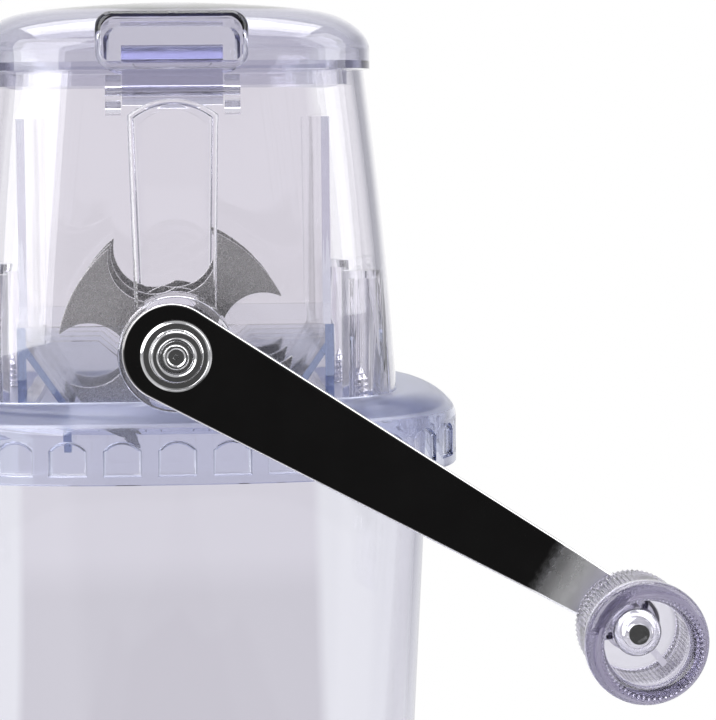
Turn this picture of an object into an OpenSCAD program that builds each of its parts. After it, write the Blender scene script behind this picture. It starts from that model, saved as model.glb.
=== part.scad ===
// Hand-crank ice crusher: clear container, lift-off crusher head, hinged lid.
// Millimetres. Base centre at the origin, crank side towards -Y, +Z up.

/* [Container] */
// height of the container to its rim
container_h = 146; // [100:1:200]
// outer width at the rim
container_rim_w = 130.4; // [110:0.1:140]
// outer depth at the rim
container_rim_d = 89.2; // [75:0.1:98]
// outer width at the base
container_base_w = 114.6; // [95:0.1:129]
// outer depth at the base
container_base_d = 80; // [60:0.1:89]
// wall thickness of the container
container_wall = 2.2; // [1.5:0.1:3.5]
// floor thickness of the container
container_floor = 3; // [2:0.1:6]
// rounding of the bottom edge
container_foot_r = 2.5; // [1:0.1:4]
// squareness of the plan, 2 is an ellipse
container_square = 3.6; // [2.6:0.1:5]

/* [Collar] */
// outer width of the collar
collar_w = 144.6; // [140:0.1:156]
// outer depth of the collar
collar_d = 112.6; // [108:0.1:124]
// wall of the collar skirt
collar_wall = 2.4; // [1.8:0.1:3.2]
// how far the skirt hangs below the container rim
skirt_drop = 14; // [8:0.5:24]
// straight height of the skirt
skirt_h = 11.5; // [8:0.5:18]
// thickness of the deck inside the collar
deck_t = 2.7; // [2:0.1:5]
// height of the shoulder above the deck
shoulder_rise = 2.4; // [1.5:0.1:8]
// squareness of the collar plan
collar_square = 2.7; // [2.4:0.1:3.4]
// width of a grip flute
flute_w = 9.4; // [5:0.1:11]
// pitch of the grip flutes along the front
flute_pitch = 13.2; // [12:0.2:16]
// number of grip flutes on the front and on the back
flute_count = 7; // [3:2:7]
// depth of a grip flute
flute_depth = 1.2; // [0.6:0.1:1.6]
// height of a grip flute
flute_h = 8.6; // [5:0.1:10]

/* [Hopper] */
// height of the hopper above the deck
hopper_h = 83.1; // [70:0.1:110]
// outer width at the bottom
hopper_bottom_w = 112.8; // [106:0.1:120]
// outer width half way up
hopper_mid_w = 106.6; // [102:0.1:112]
// outer width at the rim
hopper_top_w = 97.2; // [92:0.1:102]
// outer depth at the bottom
hopper_bottom_d = 92; // [88:0.1:98]
// outer depth half way up
hopper_mid_d = 89; // [86:0.1:92]
// outer depth at the rim
hopper_top_d = 84; // [80:0.1:88]
// wall thickness of the hopper
hopper_wall = 2.5; // [1.8:0.1:3.2]
// squareness of the hopper plan
hopper_square = 4.4; // [3.6:0.1:6]
// width of the raised spine on the front and on the back, at its top
spine_w = 22.2; // [18:0.1:27]
// width of the spine where it meets the axle boss
spine_low_w = 19.4; // [16:0.1:27]
// how far the spine stands out of the wall
spine_out = 3.4; // [2.4:0.1:5]
// height of the spine above the axle
spine_h = 61; // [40:0.5:62]
// rise of the arch that closes the spine
spine_arch = 4; // [2:0.1:6]
// spacing of the two inner chute walls, outside to outside
chute_w = 76; // [70:0.5:80]
// thickness of the inner chute walls
chute_wall = 2; // [1.4:0.1:3]
// height of the inner chute walls
chute_h = 51; // [30:0.5:54]

/* [Axle line] */
// height of the axle above the deck
axle_up = 15.2; // [13:0.1:22]
// journal radius of the axle
axle_r = 4; // [3.4:0.05:4.4]
// radial running clearance of the axle
run_clear = 0.05; // [0.02:0.01:0.09]
// outer radius of the front boss
boss_r = 14; // [11:0.1:15]
// depth of the front boss in front of the mid-plane
boss_y = 62.2; // [58:0.1:68]
// outer radius of the bearing bushes
bush_r = 7; // [6:0.1:7.6]
// radius of the rear boss
rear_boss_r = 10.5; // [9.5:0.1:14]
// reach of the rear boss behind the mid-plane
rear_boss_y = 54; // [53:0.1:60]
// thickness of the flange on the front bush
bush_flange_t = 1; // [0.6:0.1:1.6]
// radius of the flange on the front bush
bush_flange_r = 9; // [8:0.1:10.6]

/* [Crusher insert] */
// outer width of the crusher insert
insert_w = 77.4; // [72:0.1:82]
// outer depth of the crusher insert
insert_d = 79.6; // [76:0.1:80.4]
// height of the insert above the deck
insert_h = 20.4; // [18:0.1:26]
// wall of the insert
insert_wall = 2; // [1.6:0.1:2.6]
// height of the thick rail round the top of the insert
insert_rail_h = 4.6; // [3:0.1:7]
// inner half width of the spout under the blades
spout_half_w = 26; // [25.6:0.1:28]
// how far the spout hangs below the deck
spout_drop = 8; // [4:0.5:12]
// thickness of a fixed crushing rib
rib_t = 3; // [2:0.1:4.5]
// gap between the crushing ribs and the spacers
rib_gap = 2.5; // [1.5:0.1:5]

/* [Blades] */
// thickness of a blade
blade_t = 2; // [1.4:0.1:3]
// pitch of the blades along the axle
blade_pitch = 16; // [14.5:0.1:16.6]
// radius of the blade tips
blade_r = 29.2; // [26:0.1:29.6]
// half angle between the two tips of a claw
claw_half = 24.5; // [20:0.5:30]
// flatness of the outer edge of a claw
claw_sag = 2.1; // [1.4:0.1:3]
// radius of the round scallop on each side of a claw
scallop_r = 10.8; // [9:0.1:11.4]
// distance of the scallop centre from the axle
scallop_at = 22.3; // [21.4:0.1:24]
// angle of the scallop centre from the middle of the claw
scallop_turn = 44; // [41:0.5:50]
// radius of the blade hub
hub_r = 12.4; // [10:0.1:13]
// angle of the claws on the front, middle and rear blades
claw_turn = 149.3; // [0:0.1:360]
// angle by which the blades between them are turned
blade_stagger = 77.2; // [40:0.1:90]
// side of the square part of the axle
axle_sq = 8; // [7.6:0.1:9.6]
// radius of the blade spacers
spacer_r = 8; // [7.4:0.1:9]

/* [Crank] */
// distance from the axle to the knob stud
crank_len = 126.6; // [105:0.1:135]
// direction of the crank arm in the resting pose
crank_turn = -31.4; // [-90:0.1:90]
// radius of the hub end of the arm
crank_hub_r = 11.9; // [11:0.1:16]
// how far the centre of the hub end stands behind the axle
crank_heel = 1.2; // [0:0.1:3]
// radius of the eye round the knob stud
crank_tip_r = 7.7; // [6:0.1:9]
// distance of the arm's lower edge from the knob stud
crank_low = 4; // [3:0.1:6]
// thickness of the arm
crank_t = 2.5; // [2:0.1:3.5]
// outward jog of the arm near the knob
crank_jog = 1.6; // [0.6:0.1:4]
// radius of the lock washer
washer_r = 8.6; // [7.5:0.1:10]
// radius of the cap ring on the washer
cap_r = 6.3; // [5:0.1:7]
// radius of the head of the crank screw
crank_screw_r = 3.1; // [2.8:0.1:4]

/* [Knob] */
// length of the knob
knob_len = 28; // [24:0.5:36]
// radius of the ribbed part of the knob
knob_r = 13.3; // [12.5:0.1:15]
// radius of the front rim of the knob
knob_rim_r = 14.6; // [13.8:0.1:17]
// radius of the mouth of the knob
knob_mouth_r = 9.9; // [8.6:0.1:10.6]
// wall of the knob
knob_wall = 1.9; // [1.5:0.1:2.4]
// number of fine grip ribs on the knob
knob_ribs = 44; // [24:1:60]
// radius of the knob stud
stud_r = 3.5; // [2.6:0.1:4]
// length of the bearing in the knob
knob_bearing = 12; // [8:0.5:16]

/* [Lid] */
// overall width of the lid
lid_w = 100.4; // [99:0.1:106]
// overall depth of the lid
lid_d = 87.8; // [86:0.1:92]
// height of the lid above the hopper rim
lid_h = 17.6; // [15:0.1:26]
// wall of the lid
lid_wall = 2.4; // [1.8:0.1:3.2]
// squareness of the lid plan
lid_square = 4.2; // [3.6:0.1:5]
// thickness of the flange round the bottom of the lid
lid_flange_t = 2; // [1.4:0.1:3]
// depth of the locating lip inside the hopper
lid_lip = 4; // [2:0.1:6]
// side clearance of the locating lip
lid_lip_clear = 1; // [0.9:0.1:2]
// half width of the raised pads on the front and rear of the lid
lid_pad_half = 18.6; // [17:0.1:22]
// how far the pads stand out
lid_pad_out = 2.6; // [1.5:0.1:3]
// radius of the hinge pin
hinge_pin_r = 1.5; // [1.2:0.05:2]
// radius of the hinge lugs
hinge_lug_r = 4.2; // [3.6:0.1:4.4]
// thickness of a hinge lug
hinge_lug_t = 4.4; // [3:0.1:6]
// distance of the hinge line behind the hopper rim
hinge_back = 7.5; // [7:0.1:9]

/* [Screws and pegs] */
// distance of the housing screws from the middle, left and right
screw_x = 46.2; // [44:0.1:48]
// distance of the housing screws from the middle, front and back
screw_y = 29; // [24:0.1:30]
// shank radius of the housing screws
screw_r = 1.9; // [1.4:0.05:2.2]
// length of the screw above the deck
screw_up = 9.4; // [6:0.1:14]
// radius of the screw posts in the hopper
post_r = 4.6; // [4:0.1:5]
// height of the screw posts
post_h = 33; // [16:0.5:40]
// thickness of the web from a post to the hopper's side wall
post_web = 1.8; // [1.2:0.1:3]
// thickness of the closed top of a screw post
post_cap = 2; // [1.5:0.1:4]
// radius of the white locating pegs
peg_r = 2; // [1.5:0.1:2.5]
// length of the pegs below the deck
peg_len = 4.3; // [3:0.1:8]

/* [Clearances] */
// gap between faces of parts that move on each other
face_gap = 0.3; // [0.2:0.05:0.5]
// slip clearance between parts that are fixed together
slip = 0.05; // [0.02:0.01:0.1]

/* [Hidden] */
// points round a lofted section
ring_pts = 40;
// level of the underside and of the top of the deck
deck_z = container_h + face_gap;
deck_top = deck_z + deck_t;
axle_z = deck_top + axle_up;
hopper_rim_z = deck_top + hopper_h;
lid_z = hopper_rim_z + face_gap;
skirt_z = container_h - skirt_drop;
shoulder_z = skirt_z + skirt_h;
shoulder_top = deck_top + shoulder_rise;
// shape of the plate planes along the axle
blade_y = [-2, -1, 0, 1, 2] * blade_pitch;
front_wall_y = hopper_half_d(axle_z);
front_in_y = front_wall_y - hopper_wall;
spacer_end = front_in_y - face_gap;
crank_back = -(boss_y + bush_flange_t + face_gap);
crank_face = crank_back - crank_t;
washer_t = 1.2;
cap_t = 2.2;
tip_face = crank_face - crank_jog;
knob_washer_t = 0.8;
knob_back = tip_face - knob_washer_t - face_gap;
knob_x = crank_len * cos(crank_turn);
knob_z = axle_z + crank_len * sin(crank_turn);
rear_bush_end = rear_boss_y - 2.5;
drive_sq = 2 * axle_r * 0.7;
hinge_y = hopper_top_d / 2 + hinge_back;
hinge_z = hopper_rim_z - hinge_lug_r + 0.1;
lug_in = lid_pad_half - hinge_lug_t;
flange_t = 2;
slope_top = insert_h - insert_rail_h;

// ---- shared shapes ----

// one ring of a superellipse at height z
function ring(a, b, n, z) = [for (i = [0 : ring_pts - 1])
    let (t = 360 * i / ring_pts, c = cos(t), s = sin(t))
    [a * sign(c) * pow(abs(c), 2 / n), b * sign(s) * pow(abs(s), 2 / n), z]];

// closed body through sections [half width, half depth, squareness, z]
module loft(secs) {
    m = len(secs);
    k = ring_pts;
    polyhedron(
        points = [for (s = secs) each ring(s[0], s[1], s[2], s[3])],
        faces = concat(
            [[for (i = [0 : k - 1]) i]],
            [for (j = [0 : m - 2]) for (i = [0 : k - 1])
                let (n = (i + 1) % k)
                each [[j * k + i, (j + 1) * k + i, (j + 1) * k + n],
                      [j * k + i, (j + 1) * k + n, j * k + n]]],
            [[for (i = [k - 1 : -1 : 0]) (m - 1) * k + i]]));
}

// value at u of the curve through v0 at 0, v1 at 0.5 and v2 at 1
function through(v0, v1, v2, u) =
    v0 * (1 - u) * (1 - 2 * u) + v1 * 4 * u * (1 - u) + v2 * u * (2 * u - 1);

// cylinder along Y from y0 to y1
module rod(r, y0, y1, fn = 64) {
    translate([0, y0, 0]) rotate([-90, 0, 0]) cylinder(r = r, h = y1 - y0, $fn = fn);
}

// square bar along Y from y0 to y1
module bar(side, y0, y1) {
    translate([-side / 2, y0, -side / 2]) cube([side, y1 - y0, side]);
}

module at_axle() { translate([0, 0, axle_z]) children(); }

module at_knob() { translate([knob_x, 0, knob_z]) children(); }

// rectangle with round corners, centred on x and standing on y = 0
module round_rect(w, h, r) {
    translate([-w / 2 + r, 0]) square([w - 2 * r, h]);
    translate([-w / 2, r]) square([w, h - 2 * r]);
    for (x = [-1, 1]) for (y = [r, h - r])
        translate([x * (w / 2 - r), y]) circle(r = r, $fn = 32);
}

// an XZ outline extruded along Y from y0 to y1
module along_y(y0, y1) {
    translate([0, y1, 0]) rotate([90, 0, 0]) linear_extrude(height = y1 - y0) children();
}

// a YZ outline extruded along X from x0 to x1
module along_x(x0, x1) {
    translate([x0, 0, 0]) rotate([90, 0, 90]) linear_extrude(height = x1 - x0) children();
}

// ---- container ----

function cont_w(z) = (container_base_w + (container_rim_w - container_base_w) * z / container_h) / 2;
function cont_d(z) = (container_base_d + (container_rim_d - container_base_d) * z / container_h) / 2;

module container() {
    n = container_square;
    r = container_foot_r;
    w = container_wall;
    color([0.86, 0.86, 0.93, 0.35])
    difference() {
        loft([[cont_w(0) - r, cont_d(0) - r, n, 0],
              [cont_w(0) - 0.29 * r, cont_d(0) - 0.29 * r, n, 0.29 * r],
              [cont_w(r), cont_d(r), n, r],
              [cont_w(container_h / 2), cont_d(container_h / 2), n, container_h / 2],
              [cont_w(container_h), cont_d(container_h), n, container_h]]);
        loft([[cont_w(0) - w - r, cont_d(0) - w - r, n, container_floor],
              [cont_w(r) - w, cont_d(r) - w, n, container_floor + r],
              [cont_w(container_h / 2) - w, cont_d(container_h / 2) - w, n, container_h / 2],
              [cont_w(container_h + 1) - w, cont_d(container_h + 1) - w, n, container_h + 1]]);
    }
}

// ---- collar ----

// sections of the collar's outer surface, drawn in by t
function collar_secs(t, z0, z1) = concat(
    [[collar_w / 2 - t, collar_d / 2 - t, collar_square, z0],
     [collar_w / 2 - t, collar_d / 2 - t, collar_square, shoulder_z]],
    [for (u = [15 : 15 : 75])
        let (z = shoulder_z + (shoulder_top - shoulder_z - t) * sin(u))
        if (z < z1 - 0.2)
        [neck_w() + (collar_w / 2 - neck_w() - t) * cos(u),
         neck_d() + (collar_d / 2 - neck_d() - t) * cos(u),
         collar_square + (hopper_square - collar_square) * (1 - cos(u)), z]],
    [let (u = asin(min(1, (z1 - shoulder_z) / (shoulder_top - shoulder_z - t))))
        [neck_w() + (collar_w / 2 - neck_w() - t) * cos(u),
         neck_d() + (collar_d / 2 - neck_d() - t) * cos(u),
         collar_square + (hopper_square - collar_square) * (1 - cos(u)), z1]]);

// half width and half depth of the neck that holds the hopper
function neck_w() = hopper_half_w(shoulder_top) + 1.4;
function neck_d() = hopper_half_d(shoulder_top) + 1.4;

// arch-topped flute in an XZ plane
module flute() {
    square([flute_w, flute_h - flute_w / 4]);
    intersection() {
        square([flute_w, flute_h]);
        translate([flute_w / 2, flute_h - flute_w * 5 / 8]) circle(r = flute_w * 5 / 8, $fn = 40);
    }
}

// depth of the collar's outer face at x
function collar_face(x) = collar_d / 2 * pow(1 - pow(abs(x) / (collar_w / 2), collar_square), 1 / collar_square);

module collar() {
    color([0.80, 0.82, 0.95, 0.4])
    difference() {
        loft(collar_secs(0, skirt_z, shoulder_top));
        // room for the container rim
        loft(collar_secs(collar_wall, skirt_z - 1, deck_z));
        // seat of the hopper
        translate([0, 0, deck_top])
            loft([[hopper_half_w(deck_top) + slip, hopper_half_d(deck_top) + slip, hopper_square, 0],
                  [hopper_half_w(shoulder_top) + slip, hopper_half_d(shoulder_top) + slip, hopper_square,
                   shoulder_rise + 0.01]]);
        // relief under the front boss
        at_axle() rod(boss_r + face_gap, -collar_d, -front_in_y, 96);
        // way down for the crushed ice
        translate([-(spout_half_w + insert_wall + slip), -(insert_d / 2 - insert_wall), deck_z - 1])
            cube([2 * (spout_half_w + insert_wall + slip), insert_d - 2 * insert_wall, deck_t + 2]);
        // screw holes
        for (x = [-1, 1]) for (y = [-1, 1])
            translate([x * screw_x, y * screw_y, deck_z - 1])
                cylinder(r = screw_r + 0.3, h = deck_t + 2, $fn = 32);
        // grip flutes along the front and the back
        for (i = [0 : flute_count - 1]) for (side = [0, 180])
            let (x = (i - (flute_count - 1) / 2) * flute_pitch,
                 turn = atan2(collar_face(abs(x) + 2) - collar_face(abs(x) - 2), 4) * (x < 0 ? 1 : -1))
            rotate([0, 0, side]) translate([x, -collar_face(x), skirt_z + 2.2])
                rotate([0, 0, abs(x) < 2 ? 0 : -turn])
                translate([-flute_w / 2, 0, 0]) along_y(-3, flute_depth) flute();
    }
}

// ---- hopper ----

function hopper_half_w(z) = through(hopper_bottom_w, hopper_mid_w, hopper_top_w, (z - deck_top) / hopper_h) / 2;
function hopper_half_d(z) = through(hopper_bottom_d, hopper_mid_d, hopper_top_d, (z - deck_top) / hopper_h) / 2;

module hopper_body(t, z0, z1) {
    loft([for (i = [0 : 6]) let (z = z0 + (z1 - z0) * i / 6)
        [hopper_half_w(z) - t, hopper_half_d(z) - t, hopper_square, z]]);
}

// outline of the spine seen from the front, drawn in by t
module spine_outline(t) {
    w = spine_w / 2 - t;
    low = spine_low_w / 2 - t;
    h = spine_h - t;
    big = (w * w + spine_arch * spine_arch) / (2 * spine_arch);
    difference() {
        polygon([[-low, 0], [low, 0], [w, h - spine_arch], [w, h + 1], [-w, h + 1], [-w, h - spine_arch]]);
        difference() {
            translate([-w - 1, h - spine_arch]) square([2 * w + 2, spine_arch + 2]);
            translate([0, h - big]) circle(r = big, $fn = 96);
        }
    }
}

// lean of the front and rear walls from the vertical
wall_lean = atan2((hopper_bottom_d - hopper_top_d) / 2, hopper_h);

module spine(t, out) {
    for (side = [0, 180]) rotate([0, 0, side])
        translate([0, -hopper_half_d(axle_z), axle_z]) rotate([-wall_lean, 0, 0])
            along_y(-out, hopper_wall + 2) spine_outline(t);
}

module lug_outline() {
    // a round ear with an arm back to the hopper wall
    translate([hinge_y, hinge_z]) circle(r = hinge_lug_r, $fn = 48);
    polygon([[hopper_half_d(hopper_rim_z) - 1, hopper_rim_z],
             [hinge_y, hinge_z + hinge_lug_r],
             [hinge_y, hinge_z - hinge_lug_r],
             [hopper_half_d(hopper_rim_z - 2.4 * hinge_lug_r) - 1, hinge_z - 1.7 * hinge_lug_r]]);
}

module hopper() {
    color([0.84, 0.84, 0.94, 0.35])
    difference() {
        union() {
            difference() {
                union() {
                    hopper_body(0, deck_top, hopper_rim_z);
                    spine(0, spine_out);
                    // front and rear bosses
                    at_axle() rod(boss_r, -boss_y, -front_in_y - 1, 96);
                    at_axle() rod(rear_boss_r, front_in_y + 1, rear_boss_y, 96);
                    // hinge lugs
                    for (s = [-1, 1])
                        translate([s > 0 ? lug_in : -lug_in - hinge_lug_t, 0, 0])
                            along_x(0, hinge_lug_t) lug_outline();
                }
                difference() {
                    union() {
                        hopper_body(hopper_wall, deck_top - 0.01, hopper_rim_z + 0.01);
                        intersection() {
                            spine(hopper_wall, spine_out - hopper_wall);
                            hopper_body(-spine_out, deck_top, hopper_rim_z);
                        }
                    }
                    // the bosses close the spine at the axle
                    at_axle() rod(boss_r, -boss_y, -front_in_y, 96);
                    at_axle() rod(rear_boss_r, front_in_y, rear_boss_y, 96);
                }
            }
            // screw posts and inner chute walls, trimmed to the hopper
            intersection() {
                hopper_body(hopper_wall / 2, deck_top, hopper_rim_z);
                union() {
                    difference() {
                        for (x = [-1, 1]) for (y = [-1, 1])
                            translate([x * screw_x, y * screw_y, deck_top]) {
                                cylinder(r = post_r, h = post_h, $fn = 48);
                                // web out to the side wall
                                rotate([0, 0, x < 0 ? 180 : 0]) translate([0, -post_web / 2, 0])
                                    cube([hopper_bottom_w / 2 - screw_x, post_web, post_h]);
                            }
                        // room for the crusher insert
                        translate([-insert_w / 2 - face_gap, -insert_d / 2 - face_gap, deck_top - 1])
                            cube([insert_w + 2 * face_gap, insert_d + 2 * face_gap, insert_h + 1 + slip]);
                    }
                    for (x = [-chute_w / 2, chute_w / 2 - chute_wall])
                        translate([x, -hopper_bottom_d / 2, deck_top + insert_h + slip])
                            cube([chute_wall, hopper_bottom_d, chute_h]);
                }
            }
        }
        // bush seats
        at_axle() rod(bush_r + slip, -boss_y - 1, -front_in_y + 2, 96);
        at_axle() rod(bush_r - 1 + slip, front_in_y - 2, rear_bush_end, 96);
        // cored ring in the front boss
        at_axle() difference() {
            rod(boss_r - 1.8, -boss_y - 1, -front_wall_y - 3, 96);
            rod(bush_flange_r + 0.6, -boss_y - 2, -front_wall_y, 96);
        }
        // hinge pin holes
        translate([-lid_pad_half - 5, hinge_y, hinge_z]) rotate([0, 90, 0])
            cylinder(r = hinge_pin_r + slip, h = 2 * lid_pad_half + 10, $fn = 48);
        // pilot holes of the screws
        for (x = [-1, 1]) for (y = [-1, 1])
            translate([x * screw_x, y * screw_y, deck_top - 1])
                cylinder(r = screw_r + slip, h = post_h - post_cap + 1, $fn = 32);
    }
}

module housing_screws() {
    color([0.75, 0.75, 0.76])
    for (x = [-1, 1]) for (y = [-1, 1]) translate([x * screw_x, y * screw_y, 0]) {
        up = min(screw_up, post_h - 4);
        translate([0, 0, deck_z - 2]) cylinder(r = screw_r * 1.9, h = 2, $fn = 48);
        translate([0, 0, deck_z - 0.5]) cylinder(r = screw_r, h = deck_t + up - 2.5, $fn = 48);
        translate([0, 0, deck_z + deck_t + up - 3]) cylinder(r1 = screw_r, r2 = 0.4, h = 3, $fn = 48);
    }
}

module locating_pegs() {
    color([0.95, 0.95, 0.94])
    for (x = [-1, 1]) for (y = [-1, 1])
        translate([x * (screw_x + 6.4), y * (screw_y - 6.5), deck_z]) rotate([180, 0, 0])
            rotate_extrude($fn = 40)
                intersection() {
                    union() {
                        square([peg_r, peg_len - peg_r / 2]);
                        square([peg_r / 2, peg_len]);
                        translate([peg_r / 2, peg_len - peg_r / 2]) circle(r = peg_r / 2, $fn = 32);
                    }
                    square([peg_r, peg_len]);
                }
}

// ---- crusher insert ----

// the sloping side inside the insert, and the spout wall below it
module slope_outline() {
    polygon([[insert_w / 2 - insert_wall, slope_top],
             [insert_w / 2 - insert_wall, slope_top - 3],
             [spout_half_w + insert_wall, 0],
             [spout_half_w + insert_wall, -deck_t - spout_drop],
             [spout_half_w, -deck_t - spout_drop],
             [spout_half_w, 0]]);
}

// one crushing rib between two blades, from the slope to the spacers
module rib_outline() {
    difference() {
        polygon([[insert_w / 2 - insert_wall, slope_top],
                 [spout_half_w, 0],
                 [spacer_r + rib_gap, 0],
                 [spacer_r + rib_gap, axle_up - 7],
                 [spacer_r + rib_gap + 9, slope_top]]);
        translate([0, axle_up]) circle(r = spacer_r + rib_gap, $fn = 64);
    }
}

module insert_wall_outline() {
    // front or rear wall with the gap for the axle
    difference() {
        translate([-insert_w / 2, 0]) square([insert_w, insert_h]);
        translate([0, axle_up]) circle(r = spacer_r + 1.5, $fn = 64);
        translate([-(spacer_r + 1.5), axle_up]) square([2 * spacer_r + 3, insert_h]);
    }
}

module crusher_insert() {
    color([0.62, 0.66, 0.92, 0.5])
    translate([0, 0, deck_top])
    difference() {
        union() {
            for (s = [-1, 1]) {
                // side walls
                translate([s > 0 ? insert_w / 2 - insert_wall : -insert_w / 2, -insert_d / 2, 0])
                    cube([insert_wall, insert_d, insert_h]);
                // slopes and spout
                mirror([s > 0 ? 0 : 1, 0, 0]) {
                    along_y(-insert_d / 2 + insert_wall + slip, insert_d / 2 - insert_wall - slip) slope_outline();
                    along_y(-insert_d / 2 + insert_wall / 2, insert_d / 2 - insert_wall / 2)
                        intersection() {
                            slope_outline();
                            square([insert_w, insert_h]);
                        }
                    along_y(-insert_d / 2, insert_d / 2)
                        polygon([[insert_w / 2, 0], [insert_w / 2 - 2 * insert_wall, 0],
                                 [insert_w / 2 - 2 * insert_wall, flange_t], [insert_w / 2, flange_t]]);
                    for (i = [0 : 3])
                        translate([0, (blade_y[i] + blade_y[i + 1]) / 2, 0])
                            along_y(-rib_t / 2, rib_t / 2) rib_outline();
                }
            }
            along_y(-insert_d / 2, -insert_d / 2 + insert_wall) insert_wall_outline();
            along_y(insert_d / 2 - insert_wall, insert_d / 2) insert_wall_outline();
        }
        // recessed panels in the front and rear walls
        for (s = [-1, 1]) for (side = [0, 180])
            rotate([0, 0, side])
                translate([s * (insert_w / 2 + spacer_r + 5) / 2, 0, 1])
                    along_y(-insert_d / 2 - 1, -insert_d / 2 + insert_wall * 0.45)
                        round_rect(insert_w / 2 - spacer_r - 8, insert_h - insert_rail_h - 1, 3.2);
    }
}

// ---- bushes and hinge pin ----

module front_bush() {
    color([0.90, 0.90, 0.90])
    at_axle() difference() {
        union() {
            rod(bush_r, -boss_y, -front_in_y, 96);
            rod(bush_flange_r, -boss_y - bush_flange_t, -boss_y, 96);
        }
        rod(axle_r + run_clear, -boss_y - bush_flange_t - 1, -front_in_y + 1, 96);
    }
}

module rear_bush() {
    color([0.90, 0.90, 0.90])
    at_axle() difference() {
        rod(bush_r - 1, front_in_y, rear_bush_end, 96);
        rod(axle_r + run_clear, front_in_y - 1, rear_bush_end + 1, 96);
    }
}

module hinge_pin() {
    color([0.75, 0.75, 0.76])
    translate([-lid_pad_half, hinge_y, hinge_z]) rotate([0, 90, 0])
        cylinder(r = hinge_pin_r, h = 2 * lid_pad_half, $fn = 48);
}

// ---- lid ----

// dome profile: share of the half width against share of the height
lid_curve = [[1, 0], [1, 0.26], [0.996, 0.36], [0.972, 0.49], [0.912, 0.65],
             [0.81, 0.795], [0.657, 0.88], [0.39, 0.955], [0.12, 1]];

module lid_body(t, z0) {
    h = lid_h - t;
    loft(concat([[lid_w / 2 - t, lid_d / 2 - t, lid_square, z0]],
        [for (p = lid_curve) if (p[1] * h > z0 + 0.2)
            [(lid_w / 2 - t) * p[0], (lid_d / 2 - t) * p[0],
             lid_square * p[0] + 2.2 * (1 - p[0]), p[1] * h]]));
}

// raised pad on the front and rear of the lid, drawn in by t
module lid_pad(t) {
    for (side = [0, 180]) rotate([0, 0, side])
        along_y(-lid_d / 2 - lid_pad_out + t, -lid_d / 2 + 5 * lid_wall)
            round_rect(2 * lid_pad_half - 2 * t, lid_h * 0.8 - t, 4 - t / 2);
}

module lid() {
    color([0.78, 0.78, 0.95, 0.4])
    difference() {
        translate([0, 0, lid_z]) {
            difference() {
                union() {
                    lid_body(0, 0);
                    lid_pad(0);
                }
                difference() {
                    union() {
                        lid_body(lid_wall, lid_flange_t);
                        intersection() {
                            lid_pad(lid_wall);
                            translate([-lid_w, -lid_d, lid_flange_t]) cube([2 * lid_w, 2 * lid_d, lid_h]);
                        }
                    }
                }
                // mouth inside the flange
                translate([0, 0, -1]) loft([[lip_w() - 1.8, lip_d() - 1.8, hopper_square, 0],
                                            [lip_w() - 1.8, lip_d() - 1.8, hopper_square, lid_flange_t + 1.01]]);
            }
            // locating lip
            difference() {
                loft([[lip_w(), lip_d(), hopper_square, -lid_lip], [lip_w(), lip_d(), hopper_square, 0.5]]);
                loft([[lip_w() - 1.8, lip_d() - 1.8, hopper_square, -lid_lip - 1],
                      [lip_w() - 1.8, lip_d() - 1.8, hopper_square, 1]]);
            }
            // hinge knuckle between the lugs
            along_x(-lug_in + face_gap, lug_in - face_gap)
                difference() {
                    union() {
                        translate([hinge_y, hinge_z - lid_z]) circle(r = hinge_lug_r, $fn = 48);
                        polygon([[lid_d / 2 + 0.6, hinge_z - lid_z], [hinge_y + hinge_lug_r, hinge_z - lid_z],
                                 [hinge_y + hinge_lug_r, 0.17 * lid_h], [lid_d / 2 + lid_pad_out, 0.45 * lid_h],
                                 [lid_d / 2, 0.45 * lid_h]]);
                    }
                }
        }
        translate([-lug_in - 1, hinge_y, hinge_z]) rotate([0, 90, 0])
            cylinder(r = hinge_pin_r + run_clear, h = 2 * lug_in + 2, $fn = 48);
    }
}

function lip_w() = hopper_half_w(hopper_rim_z) - hopper_wall - lid_lip_clear;
function lip_d() = hopper_half_d(hopper_rim_z) - hopper_wall - lid_lip_clear;

// ---- axle and blades ----

module axle() {
    color([0.72, 0.72, 0.72])
    at_axle() rotate([0, -crank_turn, 0]) difference() {
        union() {
            bar(axle_sq, -spacer_end, spacer_end);
            rod(axle_r, -boss_y - bush_flange_t, -spacer_end + 1, 96);
            rod(axle_r, spacer_end - 1, rear_bush_end - face_gap, 96);
            bar(drive_sq, crank_face + slip, -boss_y);
        }
        rod(2.5, crank_face - 1, -boss_y + 10, 48);
    }
}

// one claw pointing along +X
module claw() {
    // the outer edge is an arc through both tips, a little flatter than the tip circle
    c = blade_r * cos(claw_half);
    h = blade_r * sin(claw_half);
    big = (h * h + claw_sag * claw_sag) / (2 * claw_sag);
    difference() {
        intersection() {
            polygon([[0, 0], [c, -h], [c + claw_sag + 1, -h], [c + claw_sag + 1, h], [c, h]]);
            translate([c + claw_sag - big, 0]) circle(r = big, $fn = 120);
        }
        for (s = [-1, 1]) rotate(s * scallop_turn)
            translate([scallop_at, 0]) circle(r = scallop_r, $fn = 72);
    }
}

module blade_outline() {
    difference() {
        union() {
            claw();
            rotate(180) claw();
            circle(r = hub_r, $fn = 72);
        }
        for (t = [-1, 1]) for (s = [0, 180]) rotate(s + t * scallop_turn)
            translate([scallop_at, 0]) circle(r = scallop_r, $fn = 72);
    }
}

module blade(i, turn) {
    color([0.55, 0.55, 0.55])
    at_axle() difference() {
        along_y(blade_y[i] - blade_t / 2, blade_y[i] + blade_t / 2)
            rotate(turn) blade_outline();
        rotate([0, -crank_turn, 0]) bar(axle_sq + 2 * slip, blade_y[i] - blade_t, blade_y[i] + blade_t);
    }
}

module spacer(y0, y1) {
    at_axle() difference() {
        rod(spacer_r, y0, y1, 72);
        rotate([0, -crank_turn, 0]) bar(axle_sq + 2 * slip, y0 - 1, y1 + 1);
    }
}

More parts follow.
